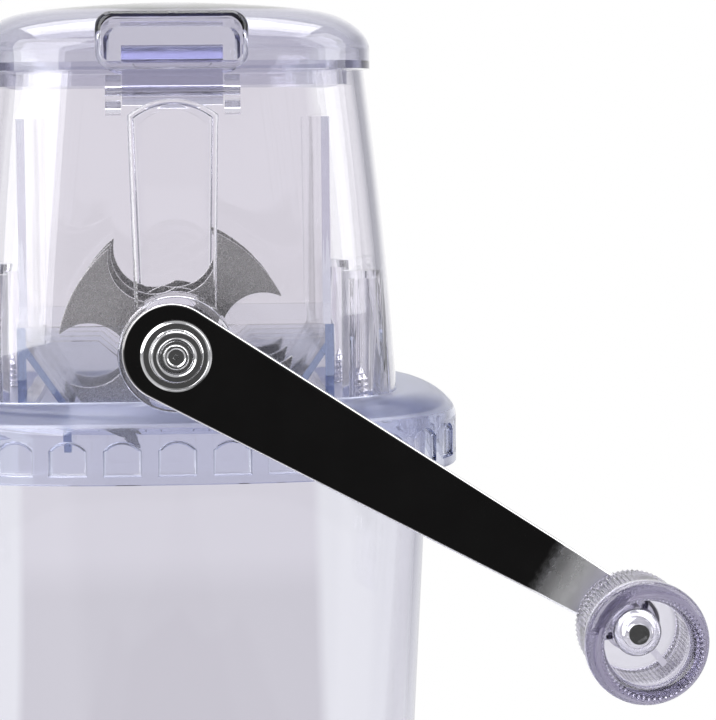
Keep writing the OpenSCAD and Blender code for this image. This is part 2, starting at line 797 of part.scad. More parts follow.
module blade_1() { blade(0, claw_turn); }
module blade_2() { blade(1, claw_turn + blade_stagger); }
module blade_3() { blade(2, claw_turn); }
module blade_4() { blade(3, claw_turn + blade_stagger); }
module blade_5() { blade(4, claw_turn); }

module blade_spacers() {
    color([0.66, 0.66, 0.66])
    for (i = [0 : 3]) spacer(blade_y[i] + blade_t / 2, blade_y[i + 1] - blade_t / 2);
}

module front_spacer() {
    color([0.66, 0.66, 0.66]) spacer(-spacer_end, blade_y[0] - blade_t / 2);
}

module rear_spacer() {
    color([0.66, 0.66, 0.66]) spacer(blade_y[4] + blade_t / 2, spacer_end);
}

// ---- crank ----

// the arm from y0 to y1, axle at the origin and knob end along +X
module arm_plate(y0, y1) {
    run = crank_len + crank_heel;
    up = acos((crank_hub_r - crank_tip_r) / run);
    low = acos((crank_hub_r - crank_low) / run);
    h = crank_hub_r - 0.03;
    t = crank_tip_r - 0.03;
    translate([-crank_heel, 0, 0]) rod(crank_hub_r, y0, y1, 96);
    translate([crank_len, 0, 0]) rod(crank_tip_r, y0, y1, 72);
    along_y(y0, y1)
        polygon([[h * cos(up) - crank_heel, h * sin(up)],
                 [crank_len + t * cos(up), t * sin(up)],
                 [crank_len + 0.5 * crank_tip_r, 0],
                 [crank_len + crank_low * cos(low), -crank_low * sin(low)],
                 [h * cos(low) - crank_heel, -h * sin(low)]]);
}

// outward offset of the arm's plate at x
function jog(x) = let (x0 = crank_len - 30, x1 = crank_len - 14)
    x <= x0 ? 0 : x >= x1 ? crank_jog : crank_jog * (1 - cos(180 * (x - x0) / (x1 - x0))) / 2;

module arm_profile() {
    // plate seen along its width: x along the arm, y outward
    xs = concat([-crank_hub_r - crank_heel - 1], [for (i = [0 : 8]) crank_len - 30 + 2 * i], [crank_len + crank_tip_r + 1]);
    polygon(concat([for (x = xs) [x, -jog(x) - crank_t]],
                   [for (i = [len(xs) - 1 : -1 : 0]) [xs[i], -jog(xs[i])]]));
}

module crank_arm() {
    color([0.12, 0.12, 0.13])
    at_axle() rotate([0, -crank_turn, 0]) difference() {
        intersection() {
            arm_plate(crank_face - crank_jog - 1, crank_back + 1);
            translate([0, crank_back, -crank_hub_r - 1])
                linear_extrude(height = 2 * crank_hub_r + 2) arm_profile();
        }
        bar(drive_sq + 2 * slip, crank_face - 1, crank_back + 1);
        translate([crank_len, 0, 0]) rod(stud_r - 1, tip_face - 1, crank_back + 1, 48);
    }
}

module crank_washer() {
    color([0.80, 0.80, 0.80])
    at_axle() difference() {
        rod(washer_r, crank_face - washer_t, crank_face, 96);
        rod(2.5, crank_face - washer_t - 1, crank_face + 1, 48);
    }
}

module crank_cap() {
    color([0.85, 0.85, 0.85])
    at_axle() translate([0, crank_face - washer_t, 0]) rotate([90, 0, 0])
        rotate_extrude($fn = 96)
            polygon([[2.5, 0], [cap_r, 0], [cap_r, cap_t * 0.45], [cap_r - 0.7, cap_t],
                     [crank_screw_r + 1.3, cap_t], [crank_screw_r + 0.6, cap_t * 0.5], [2.5, cap_t * 0.5]]);
}

module crank_screw() {
    color([0.82, 0.82, 0.82])
    at_axle() difference() {
        union() {
            translate([0, crank_face - washer_t - cap_t * 0.5, 0]) rotate([90, 0, 0])
                rotate_extrude($fn = 72)
                    polygon([[0, 0], [crank_screw_r, 0], [crank_screw_r, 1.1], [crank_screw_r - 0.7, 1.9], [0, 1.9]]);
            rod(2.5 - slip, crank_face - washer_t - cap_t * 0.5, -boss_y + 8, 48);
        }
        rod(1.7, crank_face - washer_t - cap_t * 0.5 - 3, crank_face - washer_t - cap_t * 0.5 - 0.7, 6);
    }
}

// ---- knob ----

module knob_stud() {
    head_y = knob_back - knob_bearing;
    color([0.85, 0.85, 0.85])
    at_knob() difference() {
        union() {
            rod(stud_r, head_y - face_gap, tip_face, 64);
            rod(stud_r - 1 - slip, tip_face - 1, tip_face + crank_t + 0.9, 48);
            rod(stud_r, tip_face + crank_t, tip_face + crank_t + 1.2, 64);
            // domed head
            translate([0, head_y - face_gap, 0]) rotate([90, 0, 0]) rotate_extrude($fn = 72)
                intersection() {
                    square([stud_r + 2.2, 3.2]);
                    translate([0, 3.2 - 6.64]) circle(r = 6.64, $fn = 96);
                }
        }
        rod(2.1, head_y - 5, head_y - 1.6, 6);
    }
}

module knob_washer() {
    color([0.80, 0.80, 0.80])
    at_knob() difference() {
        rod(stud_r + 3, tip_face - knob_washer_t, tip_face, 72);
        rod(stud_r + slip, tip_face - knob_washer_t - 1, tip_face + 1, 64);
    }
}

module knob() {
    rib = 0.45;
    grip = knob_len * 0.64;
    color([0.74, 0.72, 0.90, 0.45])
    at_knob() translate([0, knob_back, 0]) rotate([90, 0, 0])
    difference() {
        union() {
            // ribbed grip
            linear_extrude(height = grip)
                polygon([for (i = [0 : 2 * knob_ribs - 1]) let (t = 180 * i / knob_ribs,
                    r = i % 2 == 0 ? knob_r : knob_r - rib) [r * cos(t), r * sin(t)]]);
            // smooth front rim
            rotate_extrude($fn = 96)
                polygon([[0, grip - 1], [knob_r + 0.25, grip - 1], [knob_rim_r - 0.3, knob_len * 0.78],
                         [knob_rim_r, knob_len * 0.86], [knob_rim_r - 0.3, knob_len * 0.94],
                         [knob_rim_r - 1.4, knob_len], [0, knob_len]]);
        }
        // cavity, open to the front
        difference() {
            rotate_extrude($fn = 96)
                polygon([[0, 2], [knob_r - rib - knob_wall, 2], [knob_r - rib - knob_wall, knob_len * 0.7],
                         [knob_mouth_r, knob_len * 0.86], [knob_mouth_r, knob_len * 0.95],
                         [knob_mouth_r + 0.9, knob_len + 0.01], [0, knob_len + 0.01]]);
            // bearing tube and its three webs
            cylinder(r = stud_r + 2.2, h = knob_bearing, $fn = 72);
            for (t = [70, 190, 310]) rotate(t) translate([0, -0.8, 0])
                cube([knob_r, 1.6, knob_bearing - 2]);
        }
        translate([0, 0, -1]) cylinder(r = stud_r + run_clear, h = knob_bearing + 2, $fn = 72);
    }
}

container();
collar();
hopper();
housing_screws();
locating_pegs();
crusher_insert();
front_bush();
rear_bush();
lid();
hinge_pin();
axle();
blade_1();
blade_2();
blade_3();
blade_4();
blade_5();
blade_spacers();
front_spacer();
rear_spacer();
crank_arm();
crank_washer();
crank_cap();
crank_screw();
knob_stud();
knob_washer();
knob();
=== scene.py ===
"""Looks of a hand-crank ice crusher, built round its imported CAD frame."""

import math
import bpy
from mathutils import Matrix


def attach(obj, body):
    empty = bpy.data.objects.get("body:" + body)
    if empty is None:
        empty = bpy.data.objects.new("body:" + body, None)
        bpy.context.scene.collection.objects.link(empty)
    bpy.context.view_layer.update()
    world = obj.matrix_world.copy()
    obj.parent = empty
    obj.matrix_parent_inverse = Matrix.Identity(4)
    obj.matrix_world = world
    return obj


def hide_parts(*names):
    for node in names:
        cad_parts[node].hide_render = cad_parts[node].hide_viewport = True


bl_info = {
    "name": "Hand-Crank Ice Crusher",
    "version": (1, 0, 0),
    "blender": (4, 5, 0),
    "location": "View3D > Sidebar > Crusher",
    "description": "Builds the clear housing, rotor, crank and knob of a hand-crank ice crusher",
    "category": "Object",
}

import bmesh
import bpy
from bpy.props import FloatProperty, FloatVectorProperty, IntProperty, PointerProperty
from bpy.types import Operator, Panel, PropertyGroup
from mathutils import Matrix, Vector

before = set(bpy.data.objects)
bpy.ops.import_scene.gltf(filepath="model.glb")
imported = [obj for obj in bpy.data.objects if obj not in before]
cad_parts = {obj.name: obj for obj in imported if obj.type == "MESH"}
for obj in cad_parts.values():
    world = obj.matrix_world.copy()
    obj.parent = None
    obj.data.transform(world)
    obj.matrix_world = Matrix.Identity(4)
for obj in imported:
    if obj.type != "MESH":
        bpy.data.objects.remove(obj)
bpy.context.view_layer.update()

MM = 0.001
GAP = 0.3 * MM                      # play between pieces that move, lift off or pass through
SLIP = 0.05 * MM                    # play between seated pieces
PAST = 1.0 * MM                     # how far a cutter runs past the face that it opens
SLIVER = 0.01 * MM                  # the same where a cutter may hardly pass the face
TINY = 1e-6                         # tolerance for picking vertices by their place
SHARP_ANGLE = math.radians(32)      # edges turning by more than this stay sharp
SOFTENED_ANGLE = math.radians(50)   # edges turning by more than this are bevelled
OUTWARDS = Matrix.Rotation(math.pi / 2, 4, "X")     # stands +Z out towards the crank side

PLASTIC_IOR = 1.5
LAMP_TINT = (0.93, 0.93, 0.96)      # what clear plastic lets through of a lamp's light
FROST_SOFT = 0.3 * MM               # soft edge of the matt band on the collar's deck
FROST_ROUGHNESS = 0.28
BEND_HIGHLIGHT_ROUGHNESS = 0.25               # added on the bend of the arm, under its painted highlight
THREAD_DEPTH = 0.30                 # share of the housing screws' radius

CAMERA_BACK = 0.741                 # metres from the middle back to the camera's place, along Y
DARK_AZIMUTH = (-0.20, 0.55)        # turns between which mirrors show a dark front
FLOOR_Z = -0.2 * MM


# ------------------------------------------------------------------- sizes


def length(value, name, description):
    return FloatProperty(name=name, description=description, default=value * MM, unit="LENGTH", precision=5)


def number(value, name, description):
    return FloatProperty(name=name, description=description, default=value)


def angle(value, name, description):
    return FloatProperty(name=name, description=description, default=math.radians(value), subtype="ANGLE")


def colour(value, name, description):
    return FloatVectorProperty(name=name, description=description, default=value, size=3, min=0.0, max=1.0,
                               subtype="COLOR")


class ContainerSettings(PropertyGroup):
    height: length(146, "Height", "Height of the container to its rim")
    rim_w: length(130.4, "Rim width", "Outer width at the rim")
    rim_d: length(89.2, "Rim depth", "Outer depth at the rim")
    base_w: length(114.6, "Base width", "Outer width at the base")
    base_d: length(80, "Base depth", "Outer depth at the base")
    wall: length(2.2, "Wall", "Wall thickness")
    floor: length(3, "Floor", "Floor thickness")
    foot: length(2.5, "Foot rounding", "Rounding of the bottom edge")
    square: number(3.6, "Squareness", "Squareness of the plan, 2 is an ellipse")


class CollarSettings(PropertyGroup):
    width: length(144.6, "Width", "Outer width")
    depth: length(112.6, "Depth", "Outer depth")
    wall: length(2.4, "Wall", "Wall of the skirt")
    skirt_drop: length(14, "Skirt drop", "How far the skirt hangs below the container rim")
    skirt_h: length(11.5, "Skirt height", "Straight height of the skirt")
    deck_t: length(2.7, "Deck", "Thickness of the deck")
    shoulder_rise: length(2.4, "Shoulder rise", "Height of the shoulder above the deck")
    square: number(2.7, "Squareness", "Squareness of the plan")
    flute_w: length(9.4, "Flute width", "Width of a grip flute")
    flute_count: IntProperty(name="Flutes", description="Grip flutes round the skirt", default=32)
    flute_depth: length(1.2, "Flute depth", "Depth of a grip flute")
    flute_h: length(8.6, "Flute height", "Height of a grip flute")
    flute_up: length(2.2, "Flute foot", "Height of a flute's foot above the skirt's edge")
    flute_round: length(0.9, "Flute rounding", "Rounding of the inner edges of a flute")
    neck_ledge: length(1.4, "Neck ledge", "Width of the ledge between the shoulder's top and the hopper")


class HopperSettings(PropertyGroup):
    height: length(83.1, "Height", "Height above the deck")
    bottom_w: length(112.8, "Bottom width", "Outer width at the bottom")
    mid_w: length(106.6, "Middle width", "Outer width half way up")
    top_w: length(97.2, "Top width", "Outer width at the rim")
    bottom_d: length(92, "Bottom depth", "Outer depth at the bottom")
    mid_d: length(89, "Middle depth", "Outer depth half way up")
    top_d: length(84, "Top depth", "Outer depth at the rim")
    wall: length(2.5, "Wall", "Wall thickness")
    square: number(4.4, "Squareness", "Squareness of the plan")
    spine_w: length(22.2, "Spine width", "Width of the raised spine at its top")
    spine_low_w: length(19.4, "Spine low width", "Width of the spine at the axle")
    spine_out: length(3.4, "Spine relief", "How far the spine stands out of the wall")
    spine_h: length(61, "Spine height", "Height of the spine above the axle")
    spine_arch: length(4, "Spine arch", "Rise of the arch that closes the spine")
    spine_round: length(0.9, "Spine rounding", "Rounding of the spine's outer edges")
    chute_w: length(76, "Chute width", "Spacing of the inner chute walls, outside to outside")
    chute_wall: length(2, "Chute wall", "Thickness of the inner chute walls")
    chute_h: length(51, "Chute height", "Height of the inner chute walls")
    axle_up: length(15.2, "Axle height", "Height of the axle above the deck")
    boss_r: length(14, "Front boss", "Outer radius of the front boss")
    boss_y: length(62.2, "Front boss reach", "Depth of the front boss in front of the mid-plane")
    rear_boss_r: length(10.5, "Rear boss", "Outer radius of the rear boss")
    rear_boss_y: length(54, "Rear boss reach", "Reach of the rear boss behind the mid-plane")
    bush_r: length(7, "Bush", "Outer radius of the bushes")
    bush_flange_t: length(1, "Bush flange", "Thickness of the flange on the front bush")
    bush_flange_r: length(9, "Bush flange radius", "Radius of the flange on the front bush")


class InsertSettings(PropertyGroup):
    width: length(77.4, "Width", "Outer width")
    depth: length(79.6, "Depth", "Outer depth")
    height: length(20.4, "Height", "Height above the deck")
    wall: length(2, "Wall", "Wall thickness")
    rail_h: length(4.6, "Rail height", "Height of the thick rail round the top")
    spout_half_w: length(26, "Spout half width", "Inner half width of the spout")
    spout_drop: length(8, "Spout drop", "How far the spout hangs below the deck")
    rib_t: length(3, "Rib", "Thickness of a crushing rib")
    rib_gap: length(2.5, "Rib gap", "Gap between the ribs and the spacers")
    edge_round: length(0.3, "Edge rounding", "Rounding of the insert's edges")


class RotorSettings(PropertyGroup):
    blades: IntProperty(name="Blades", description="Blades on the axle", default=5)
    blade_t: length(2, "Blade", "Thickness of a blade")
    pitch: length(16, "Pitch", "Pitch of the blades along the axle")
    radius: length(29.2, "Tip radius", "Radius of the blade tips")
    claw_half: angle(24.5, "Claw half angle", "Half angle between the two tips of a claw")
    claw_sag: length(2.1, "Claw flatness", "Flatness of the outer edge of a claw")
    scallop_r: length(10.8, "Scallop", "Radius of the scallop on each side of a claw")
    scallop_at: length(22.3, "Scallop distance", "Distance of the scallop centre from the axle")
    scallop_turn: angle(44, "Scallop angle", "Angle of the scallop centre from the middle of the claw")
    hub_r: length(12.4, "Hub", "Radius of the blade hub")
    claw_turn: angle(149.3, "Claw turn", "Angle of the claws on the front blade")
    stagger: angle(77.2, "Stagger", "Angle by which every second blade is turned")
    axle_sq: length(8, "Axle side", "Side of the square part of the axle")
    spacer_r: length(8, "Spacer", "Radius of the spacers")
    edge: length(0.4, "Ground edge", "Width of the ground bevel round a blade")


class CrankSettings(PropertyGroup):
    length: length(126.6, "Length", "Distance from the axle to the knob stud")
    turn: angle(-31.4, "Turn", "Direction of the arm in the resting pose")
    hub_r: length(11.9, "Hub end", "Radius of the hub end")
    heel: length(1.2, "Heel", "How far the hub end stands behind the axle")
    tip_r: length(7.7, "Eye", "Radius of the eye round the knob stud")
    low: length(4, "Lower edge", "Distance of the lower edge from the knob stud")
    thick: length(2.5, "Thickness", "Thickness of the arm")
    jog: length(1.6, "Jog", "Outward jog of the arm near the knob")
    jog_from: length(23.5, "Jog start", "Distance from the stud at which the jog starts")
    jog_to: length(11.5, "Jog end", "Distance from the stud at which the jog ends")
    # Where the painted highlight on the arm's bend starts and ends, measured from the stud.
    highlight_from: length(24, "Worn start", "Distance from the stud at which the duller plating starts")
    highlight_to: length(3, "Worn end", "Distance from the stud at which the duller plating ends")
    edge_round: length(0.7, "Edge rounding", "Rounding of the front edges, half as much at the back")
    drive: length(5.6, "Drive", "Side of the square drive of the axle")
    bore: length(2.5, "Bore", "Radius of the bore in washer and cap ring")
    washer_r: length(8.6, "Washer", "Radius of the lock washer")
    washer_t: length(1.2, "Washer thickness", "Thickness of the lock washer")
    cap_r: length(6.3, "Cap", "Radius of the cap ring")
    cap_t: length(2.2, "Cap thickness", "Thickness of the cap ring")
    screw_r: length(3.1, "Screw head", "Radius of the crank screw's head")
    shank_r: length(2.45, "Screw shank", "Radius of the crank screw's shank")


class KnobSettings(PropertyGroup):
    length: length(28, "Length", "Length of the knob")
    radius: length(13.3, "Grip", "Radius of the ribbed grip")
    rim_r: length(14.6, "Rim", "Radius of the front rim")
    mouth_r: length(9.9, "Mouth", "Radius of the mouth")
    widest: number(0.92, "Widest place", "Share of the length at which the rim is widest")
    wall: length(1.9, "Wall", "Wall thickness")
    ribs: IntProperty(name="Ribs", description="Fine grip ribs", default=70)
    rib_depth: length(0.6, "Rib depth", "Depth of the grip ribs")
    inner_rib_depth: length(0.22, "Inner rib depth", "Depth of the finer ribs inside")
    web_t: length(1.6, "Web", "Thickness of the webs that carry the bearing")
    washer_t: length(0.8, "Washer", "Thickness of the washer under the knob")
    stud_r: length(3.5, "Stud", "Radius of the stud")
    bearing: length(12, "Bearing", "Length of the bearing in the knob")


class LidSettings(PropertyGroup):
    width: length(100.4, "Width", "Overall width")
    depth: length(87.8, "Depth", "Overall depth")
    height: length(17.6, "Height", "Height above the hopper rim")
    wall: length(2.4, "Wall", "Wall thickness")
    square: number(4.2, "Squareness", "Squareness of the plan")
    flange_t: length(2, "Flange", "Thickness of the flange")
    lip: length(4, "Lip", "Depth of the locating lip")
    lip_clear: length(1, "Lip clearance", "Side clearance of the locating lip")
    pad_half: length(18.6, "Pad half width", "Half width of the raised pads")
    lip_wall: length(1.8, "Lip wall", "Wall of the locating lip")
    pad_out: length(2.6, "Pad relief", "How far the pads stand out")
    pad_wall: length(1.5, "Pad wall", "Wall of the pads")
    pad_round: length(1.8, "Pad rounding", "Rounding of the pads' outer edges")
    pin_r: length(1.5, "Hinge pin", "Radius of the hinge pin")
    lug_r: length(4.2, "Hinge lug", "Radius of the hinge lugs")
    lug_t: length(4.4, "Lug thickness", "Thickness of a hinge lug")
    lug_up: length(0.1, "Lug top", "How far the lugs stand above the hopper's rim")
    hinge_back: length(7.5, "Hinge line", "Distance of the hinge line behind the hopper rim")


class FastenerSettings(PropertyGroup):
    screw_x: length(46.2, "Screws across", "Distance of the housing screws from the middle, left and right")
    screw_y: length(29, "Screws along", "Distance of the housing screws from the middle, front and back")
    screw_r: length(1.9, "Screw", "Thread radius of the housing screws")
    screw_up: length(9.4, "Screw reach", "Length of the screw above the deck")
    post_r: length(4.6, "Post", "Radius of the screw posts")
    post_h: length(33, "Post height", "Height of the screw posts")
    post_web: length(1.8, "Post web", "Thickness of the web from a post to the wall")
    post_cap: length(2, "Post cap", "Thickness of the closed top of a screw post")
    peg_r: length(2, "Peg", "Radius of the locating pegs")
    peg_len: length(4.3, "Peg length", "Length of the pegs below the deck")
    thread: length(1.5, "Thread pitch", "Pitch of the housing screws' thread")


class ColourSettings(PropertyGroup):
    clear: colour((0.78, 0.78, 0.86), "Clear plastic", "Colour the clear housing takes in depth")
    collar: colour((0.60, 0.64, 0.79), "Collar plastic", "Colour the collar takes in depth")
    lid: colour((0.60, 0.60, 0.72), "Lid plastic", "Colour the lid takes in depth")
    tinted: colour((0.58, 0.66, 0.80), "Tinted plastic", "Colour the insert takes in depth")
    knob: colour((0.66, 0.64, 0.73), "Knob plastic", "Colour the knob takes in depth")
    blade: colour((0.34, 0.332, 0.325), "Blade steel", "Colour of the blades")
    plate: colour((0.80, 0.80, 0.81), "Plated steel", "Colour of the plated screws and rings")
    # Painted shade: the arm's chrome is made nearly black, standing in for the dark studio that its faces
    # reflect.
    arm: colour((0.10, 0.097, 0.098), "Black chrome", "Colour of the crank arm")
    # Painted highlight on the edges of the arm and the blades, partly the bright ground steel of the blade
    # edges.
    edge: colour((0.72, 0.71, 0.71), "Bright edges", "Colour of the bright edges of the arm and the blades")
    # Painted highlight on the arm's bend: a pale colour standing in for the bright light that the bend
    # reflects.
    worn: colour((0.85, 0.85, 0.86), "Worn plating", "Colour of the duller plating on the bend of the arm")
    peg: colour((0.86, 0.86, 0.85), "Pegs", "Colour of the locating pegs")
    bush: colour((0.70, 0.70, 0.71), "Bushes", "Colour of the bushes")
    backdrop: colour((0.825, 0.80, 0.846), "Backdrop", "Pale panel behind the object, seen through it")


class StageSettings(PropertyGroup):
    floor_radius: FloatProperty(name="Floor radius", description="Radius of the pale floor", default=1.6,
                                unit="LENGTH")
    lens: FloatProperty(name="Lens", description="Focal length of the camera in millimetres", default=142.26)
    camera: FloatVectorProperty(name="Camera", description="Place of the camera", subtype="TRANSLATION",
                                default=(0.00041, -0.74073, 0.22174), size=3, precision=5)
    yaw: angle(-3.634, "Yaw", "Turn of the camera to the left")
    pitch: angle(-4.996, "Pitch", "Tip of the camera upwards")
    roll: angle(-0.513, "Roll", "Roll of the camera")


SETTINGS = {"container": ContainerSettings, "collar": CollarSettings, "hopper": HopperSettings,
            "insert": InsertSettings, "rotor": RotorSettings, "crank": CrankSettings, "knob": KnobSettings,
            "lid": LidSettings, "fastener": FastenerSettings, "colour": ColourSettings,
            "stage": StageSettings}


def steps(count, first=0):
    """Even shares up to one, from the first step on."""
    return [i / count for i in range(first, count + 1)]


def blend(first, last, share):
    """The value at that share of the way from first to last."""
    return first + (last - first) * share


def through(low, middle, high, u):
    """Value at u of the curve through low at 0, middle at 0.5 and high at 1."""
    return low * (1 - u) * (1 - 2 * u) + middle * 4 * u * (1 - u) + high * u * (2 * u - 1)


def corners(across, along):
    """The four places at those distances from the middle."""
    return [(x * across, y * along) for x in (-1, 1) for y in (-1, 1)]


class Plan:
    """Levels and section sizes that the pieces share."""

    def __init__(self, scene):
        for key in SETTINGS:
            setattr(self, key, getattr(scene, "crusher_" + key))
        box, collar, hopper = self.container, self.collar, self.hopper
        crank, knob, lid = self.crank, self.knob, self.lid
        self.deck_z = box.height + GAP
        self.deck_top = self.deck_z + collar.deck_t
        self.axle_z = self.deck_top + hopper.axle_up
        self.rim_z = self.deck_top + hopper.height
        self.lid_z = self.rim_z + GAP
        self.skirt_z = box.height - collar.skirt_drop
        self.shoulder_z = self.skirt_z + collar.skirt_h
        self.shoulder_top = self.deck_top + collar.shoulder_rise
        self.front_wall_y = self.hopper_half(self.axle_z)[1]
        self.front_in_y = self.front_wall_y - hopper.wall
        self.crank_back = -(hopper.boss_y + hopper.bush_flange_t + GAP)
        self.crank_face = self.crank_back - crank.thick
        self.tip_face = self.crank_face - crank.jog
        self.knob_back = self.tip_face - knob.washer_t - GAP
        self.knob_x = crank.length * math.cos(crank.turn)
        self.knob_z = self.axle_z + crank.length * math.sin(crank.turn)
        self.hinge_y = hopper.top_d / 2 + lid.hinge_back
        self.hinge_z = self.rim_z - lid.lug_r + lid.lug_up
        self.lug_in = lid.pad_half - lid.lug_t
        self.wall_lean = math.atan2((hopper.bottom_d - hopper.top_d) / 2, hopper.height)
        self.neck = [half + collar.neck_ledge for half in self.hopper_half(self.shoulder_top)]
        self.lip = self.hopper_half(self.rim_z, hopper.wall + lid.lip_clear)

    def container_half(self, z, inset=0.0):
        """Half width and half depth of the container at that height, drawn in by the inset."""
        box, u = self.container, z / self.container.height
        return blend(box.base_w, box.rim_w, u) / 2 - inset, blend(box.base_d, box.rim_d, u) / 2 - inset

    def hopper_half(self, z, inset=0.0):
        """Half width and half depth of the hopper at that height, drawn in by the inset."""
        shape, u = self.hopper, (z - self.deck_top) / self.hopper.height
        return (through(shape.bottom_w, shape.mid_w, shape.top_w, u) / 2 - inset,
                through(shape.bottom_d, shape.mid_d, shape.top_d, u) / 2 - inset)

    def hopper_body(self, inset, low, high):
        """The tapering body between two levels, drawn in by the inset."""
        levels = [blend(low, high, u) for u in steps(12)]
        return loft([(*self.hopper_half(z, inset), self.hopper.square, z) for z in levels])

    def collar_body(self, inset, low, high):
        """The skirt and the rounded shoulder between two levels, drawn in by the inset."""
        shape, neck = self.collar, self.neck
        w, d = shape.width / 2 - inset, shape.depth / 2 - inset
        rise = self.shoulder_top - self.shoulder_z - inset
        last = math.asin(min(1.0, (high - self.shoulder_z) / rise))
        sections = [(w, d, shape.square, low)]
        for u in steps(18):
            share = math.cos(last * u)
            sections.append((blend(neck[0], w, share), blend(neck[1], d, share),
                             blend(self.hopper.square, shape.square, share),
                             self.shoulder_z + rise * math.sin(last * u)))
        return loft(sections, 200)

    def at_axle(self, y=0.0):
        """From the middle of the axle's line to its place, and along it by y."""
        return Matrix.Translation((0, y, self.axle_z))

    def along_crank(self):
        """From arm coordinates, x along the arm, to the resting pose."""
        return self.at_axle() @ Matrix.Rotation(-self.crank.turn, 4, "Y")

    def on_stud(self, y):
        """From knob coordinates, z out along the stud, to the resting pose."""
        return Matrix.Translation((self.knob_x, y, self.knob_z)) @ OUTWARDS


# ---------------------------------------------------------------- materials


class Nodes:
    """Small helper that adds and links the nodes of one material."""

    def __init__(self, tree):
        self.tree = tree
        tree.nodes.clear()

    def fill(self, socket, value):
        """Link the socket to another one, or give it a value; a colour gets its alpha here."""
        if isinstance(value, bpy.types.NodeSocket):
            self.tree.links.new(value, socket)
        elif socket.type == "RGBA":
            socket.default_value = (*value, 1.0)
        else:
            socket.default_value = value

    def add(self, kind, inputs=None, **settings):
        node = self.tree.nodes.new(kind)
        for key, value in settings.items():
            setattr(node, key, value)
        for key, value in (inputs or {}).items():
            self.fill(node.inputs[key], value)
        return node

    def coordinates(self, scale=None):
        """Object coordinates, scaled if asked."""
        plain = self.add("ShaderNodeTexCoord").outputs["Object"]
        if scale is None:
            return plain
        return self.add("ShaderNodeMapping", {"Vector": plain, "Scale": scale}).outputs["Vector"]

    def axes(self, vector):
        """The X, Y and Z of a vector."""
        return list(self.add("ShaderNodeSeparateXYZ", {0: vector}).outputs)

    def ramp(self, source, stops):
        """Colours at their places along the source, blended in between."""
        node = self.add("ShaderNodeValToRGB", {"Fac": source})
        elements = node.color_ramp.elements
        while len(elements) < len(stops):
            elements.new(0.5)
        for element, (place, colour_there) in zip(elements, stops):
            element.position = place
            element.color = (*colour_there, 1.0)
        return node.outputs["Color"]

    def math(self, operation, a, b=0.0):
        """The result of one step of arithmetic."""
        return self.add("ShaderNodeMath", {0: a, 1: b}, operation=operation).outputs[0]

    def span(self, value, low, high, to_low=0.0, to_high=1.0):
        """The value's place between low and high, given as one between to_low and to_high."""
        return self.add("ShaderNodeMapRange", {"Value": value, "From Min": low, "From Max": high,
                                               "To Min": to_low, "To Max": to_high}).outputs["Result"]

    def within(self, value, low, high, soft):
        """One between low and high, falling to zero over the soft width."""
        return self.math("MULTIPLY", self.span(value, low - soft, low + soft),
                         self.span(value, high + soft, high - soft))

    def mix(self, share, first, second):
        """A colour at that share of the way from the first to the second."""
        return self.add("ShaderNodeMix", {0: share, 6: first, 7: second}, data_type="RGBA").outputs[2]

    def mix_shader(self, share, first, second):
        return self.add("ShaderNodeMixShader", {0: share, 1: first, 2: second}).outputs[0]

    def noise(self, vector, scale, detail=2.0, roughness=0.5):
        return self.add("ShaderNodeTexNoise", {"Vector": vector, "Scale": scale, "Detail": detail,
                                               "Roughness": roughness}).outputs["Fac"]

    def bump(self, height, strength, distance):
        inputs = {"Height": height, "Strength": strength, "Distance": distance}
        return self.add("ShaderNodeBump", inputs).outputs["Normal"]

    def dark_front(self, x, y):
        """One for directions over the dark card in front of the object, which its mirrors show."""
        return self.within(self.math("ARCTAN2", x, self.math("MULTIPLY", y, -1.0)), *DARK_AZIMUTH, 0.04)


def new_material(name):
    """An empty material and the helper that fills it."""
    material = bpy.data.materials.new(name)
    material.use_nodes = True
    return material, Nodes(material.node_tree)


def clear_plastic(name, tint, density, skin=(0.985, 0.985, 0.995), haze=0.02, frost=None):
    """Moulded clear plastic: a faint flow wave, fine handling haze and colour that deepens with thickness.

    frost gives the lowest and highest level of a band with a fine matt texture."""
    material, n = new_material(name)
    coordinates = n.coordinates()
    flow = n.noise(n.coordinates((22.0, 22.0, 7.0)), 1.0)
    smudge = n.noise(coordinates, 60.0, 4.0)
    fine = n.noise(coordinates, 900.0)
    roughness = n.span(n.math("MULTIPLY", smudge, fine), 0.15, 0.55, haze * 0.4, haze * 1.8)
    if frost is not None:
        band = n.within(n.axes(coordinates)[2], *frost, FROST_SOFT)
        roughness = n.math("MAXIMUM", roughness, n.math("MULTIPLY", band, FROST_ROUGHNESS))
    shader = n.add("ShaderNodeBsdfPrincipled", {
        "Base Color": skin, "Roughness": roughness, "IOR": PLASTIC_IOR,
        "Transmission Weight": 1.0, "Normal": n.bump(flow, 0.05, 4 * MM)})
    through_light = n.add("ShaderNodeBsdfTransparent", {"Color": LAMP_TINT})
    lamp = n.add("ShaderNodeLightPath").outputs["Is Shadow Ray"]
    surface = n.mix_shader(lamp, shader.outputs[0], through_light.outputs[0])
    volume = n.add("ShaderNodeVolumeAbsorption", {"Color": tint, "Density": density})
    n.add("ShaderNodeOutputMaterial", {"Surface": surface, "Volume": volume.outputs[0]})
    return material


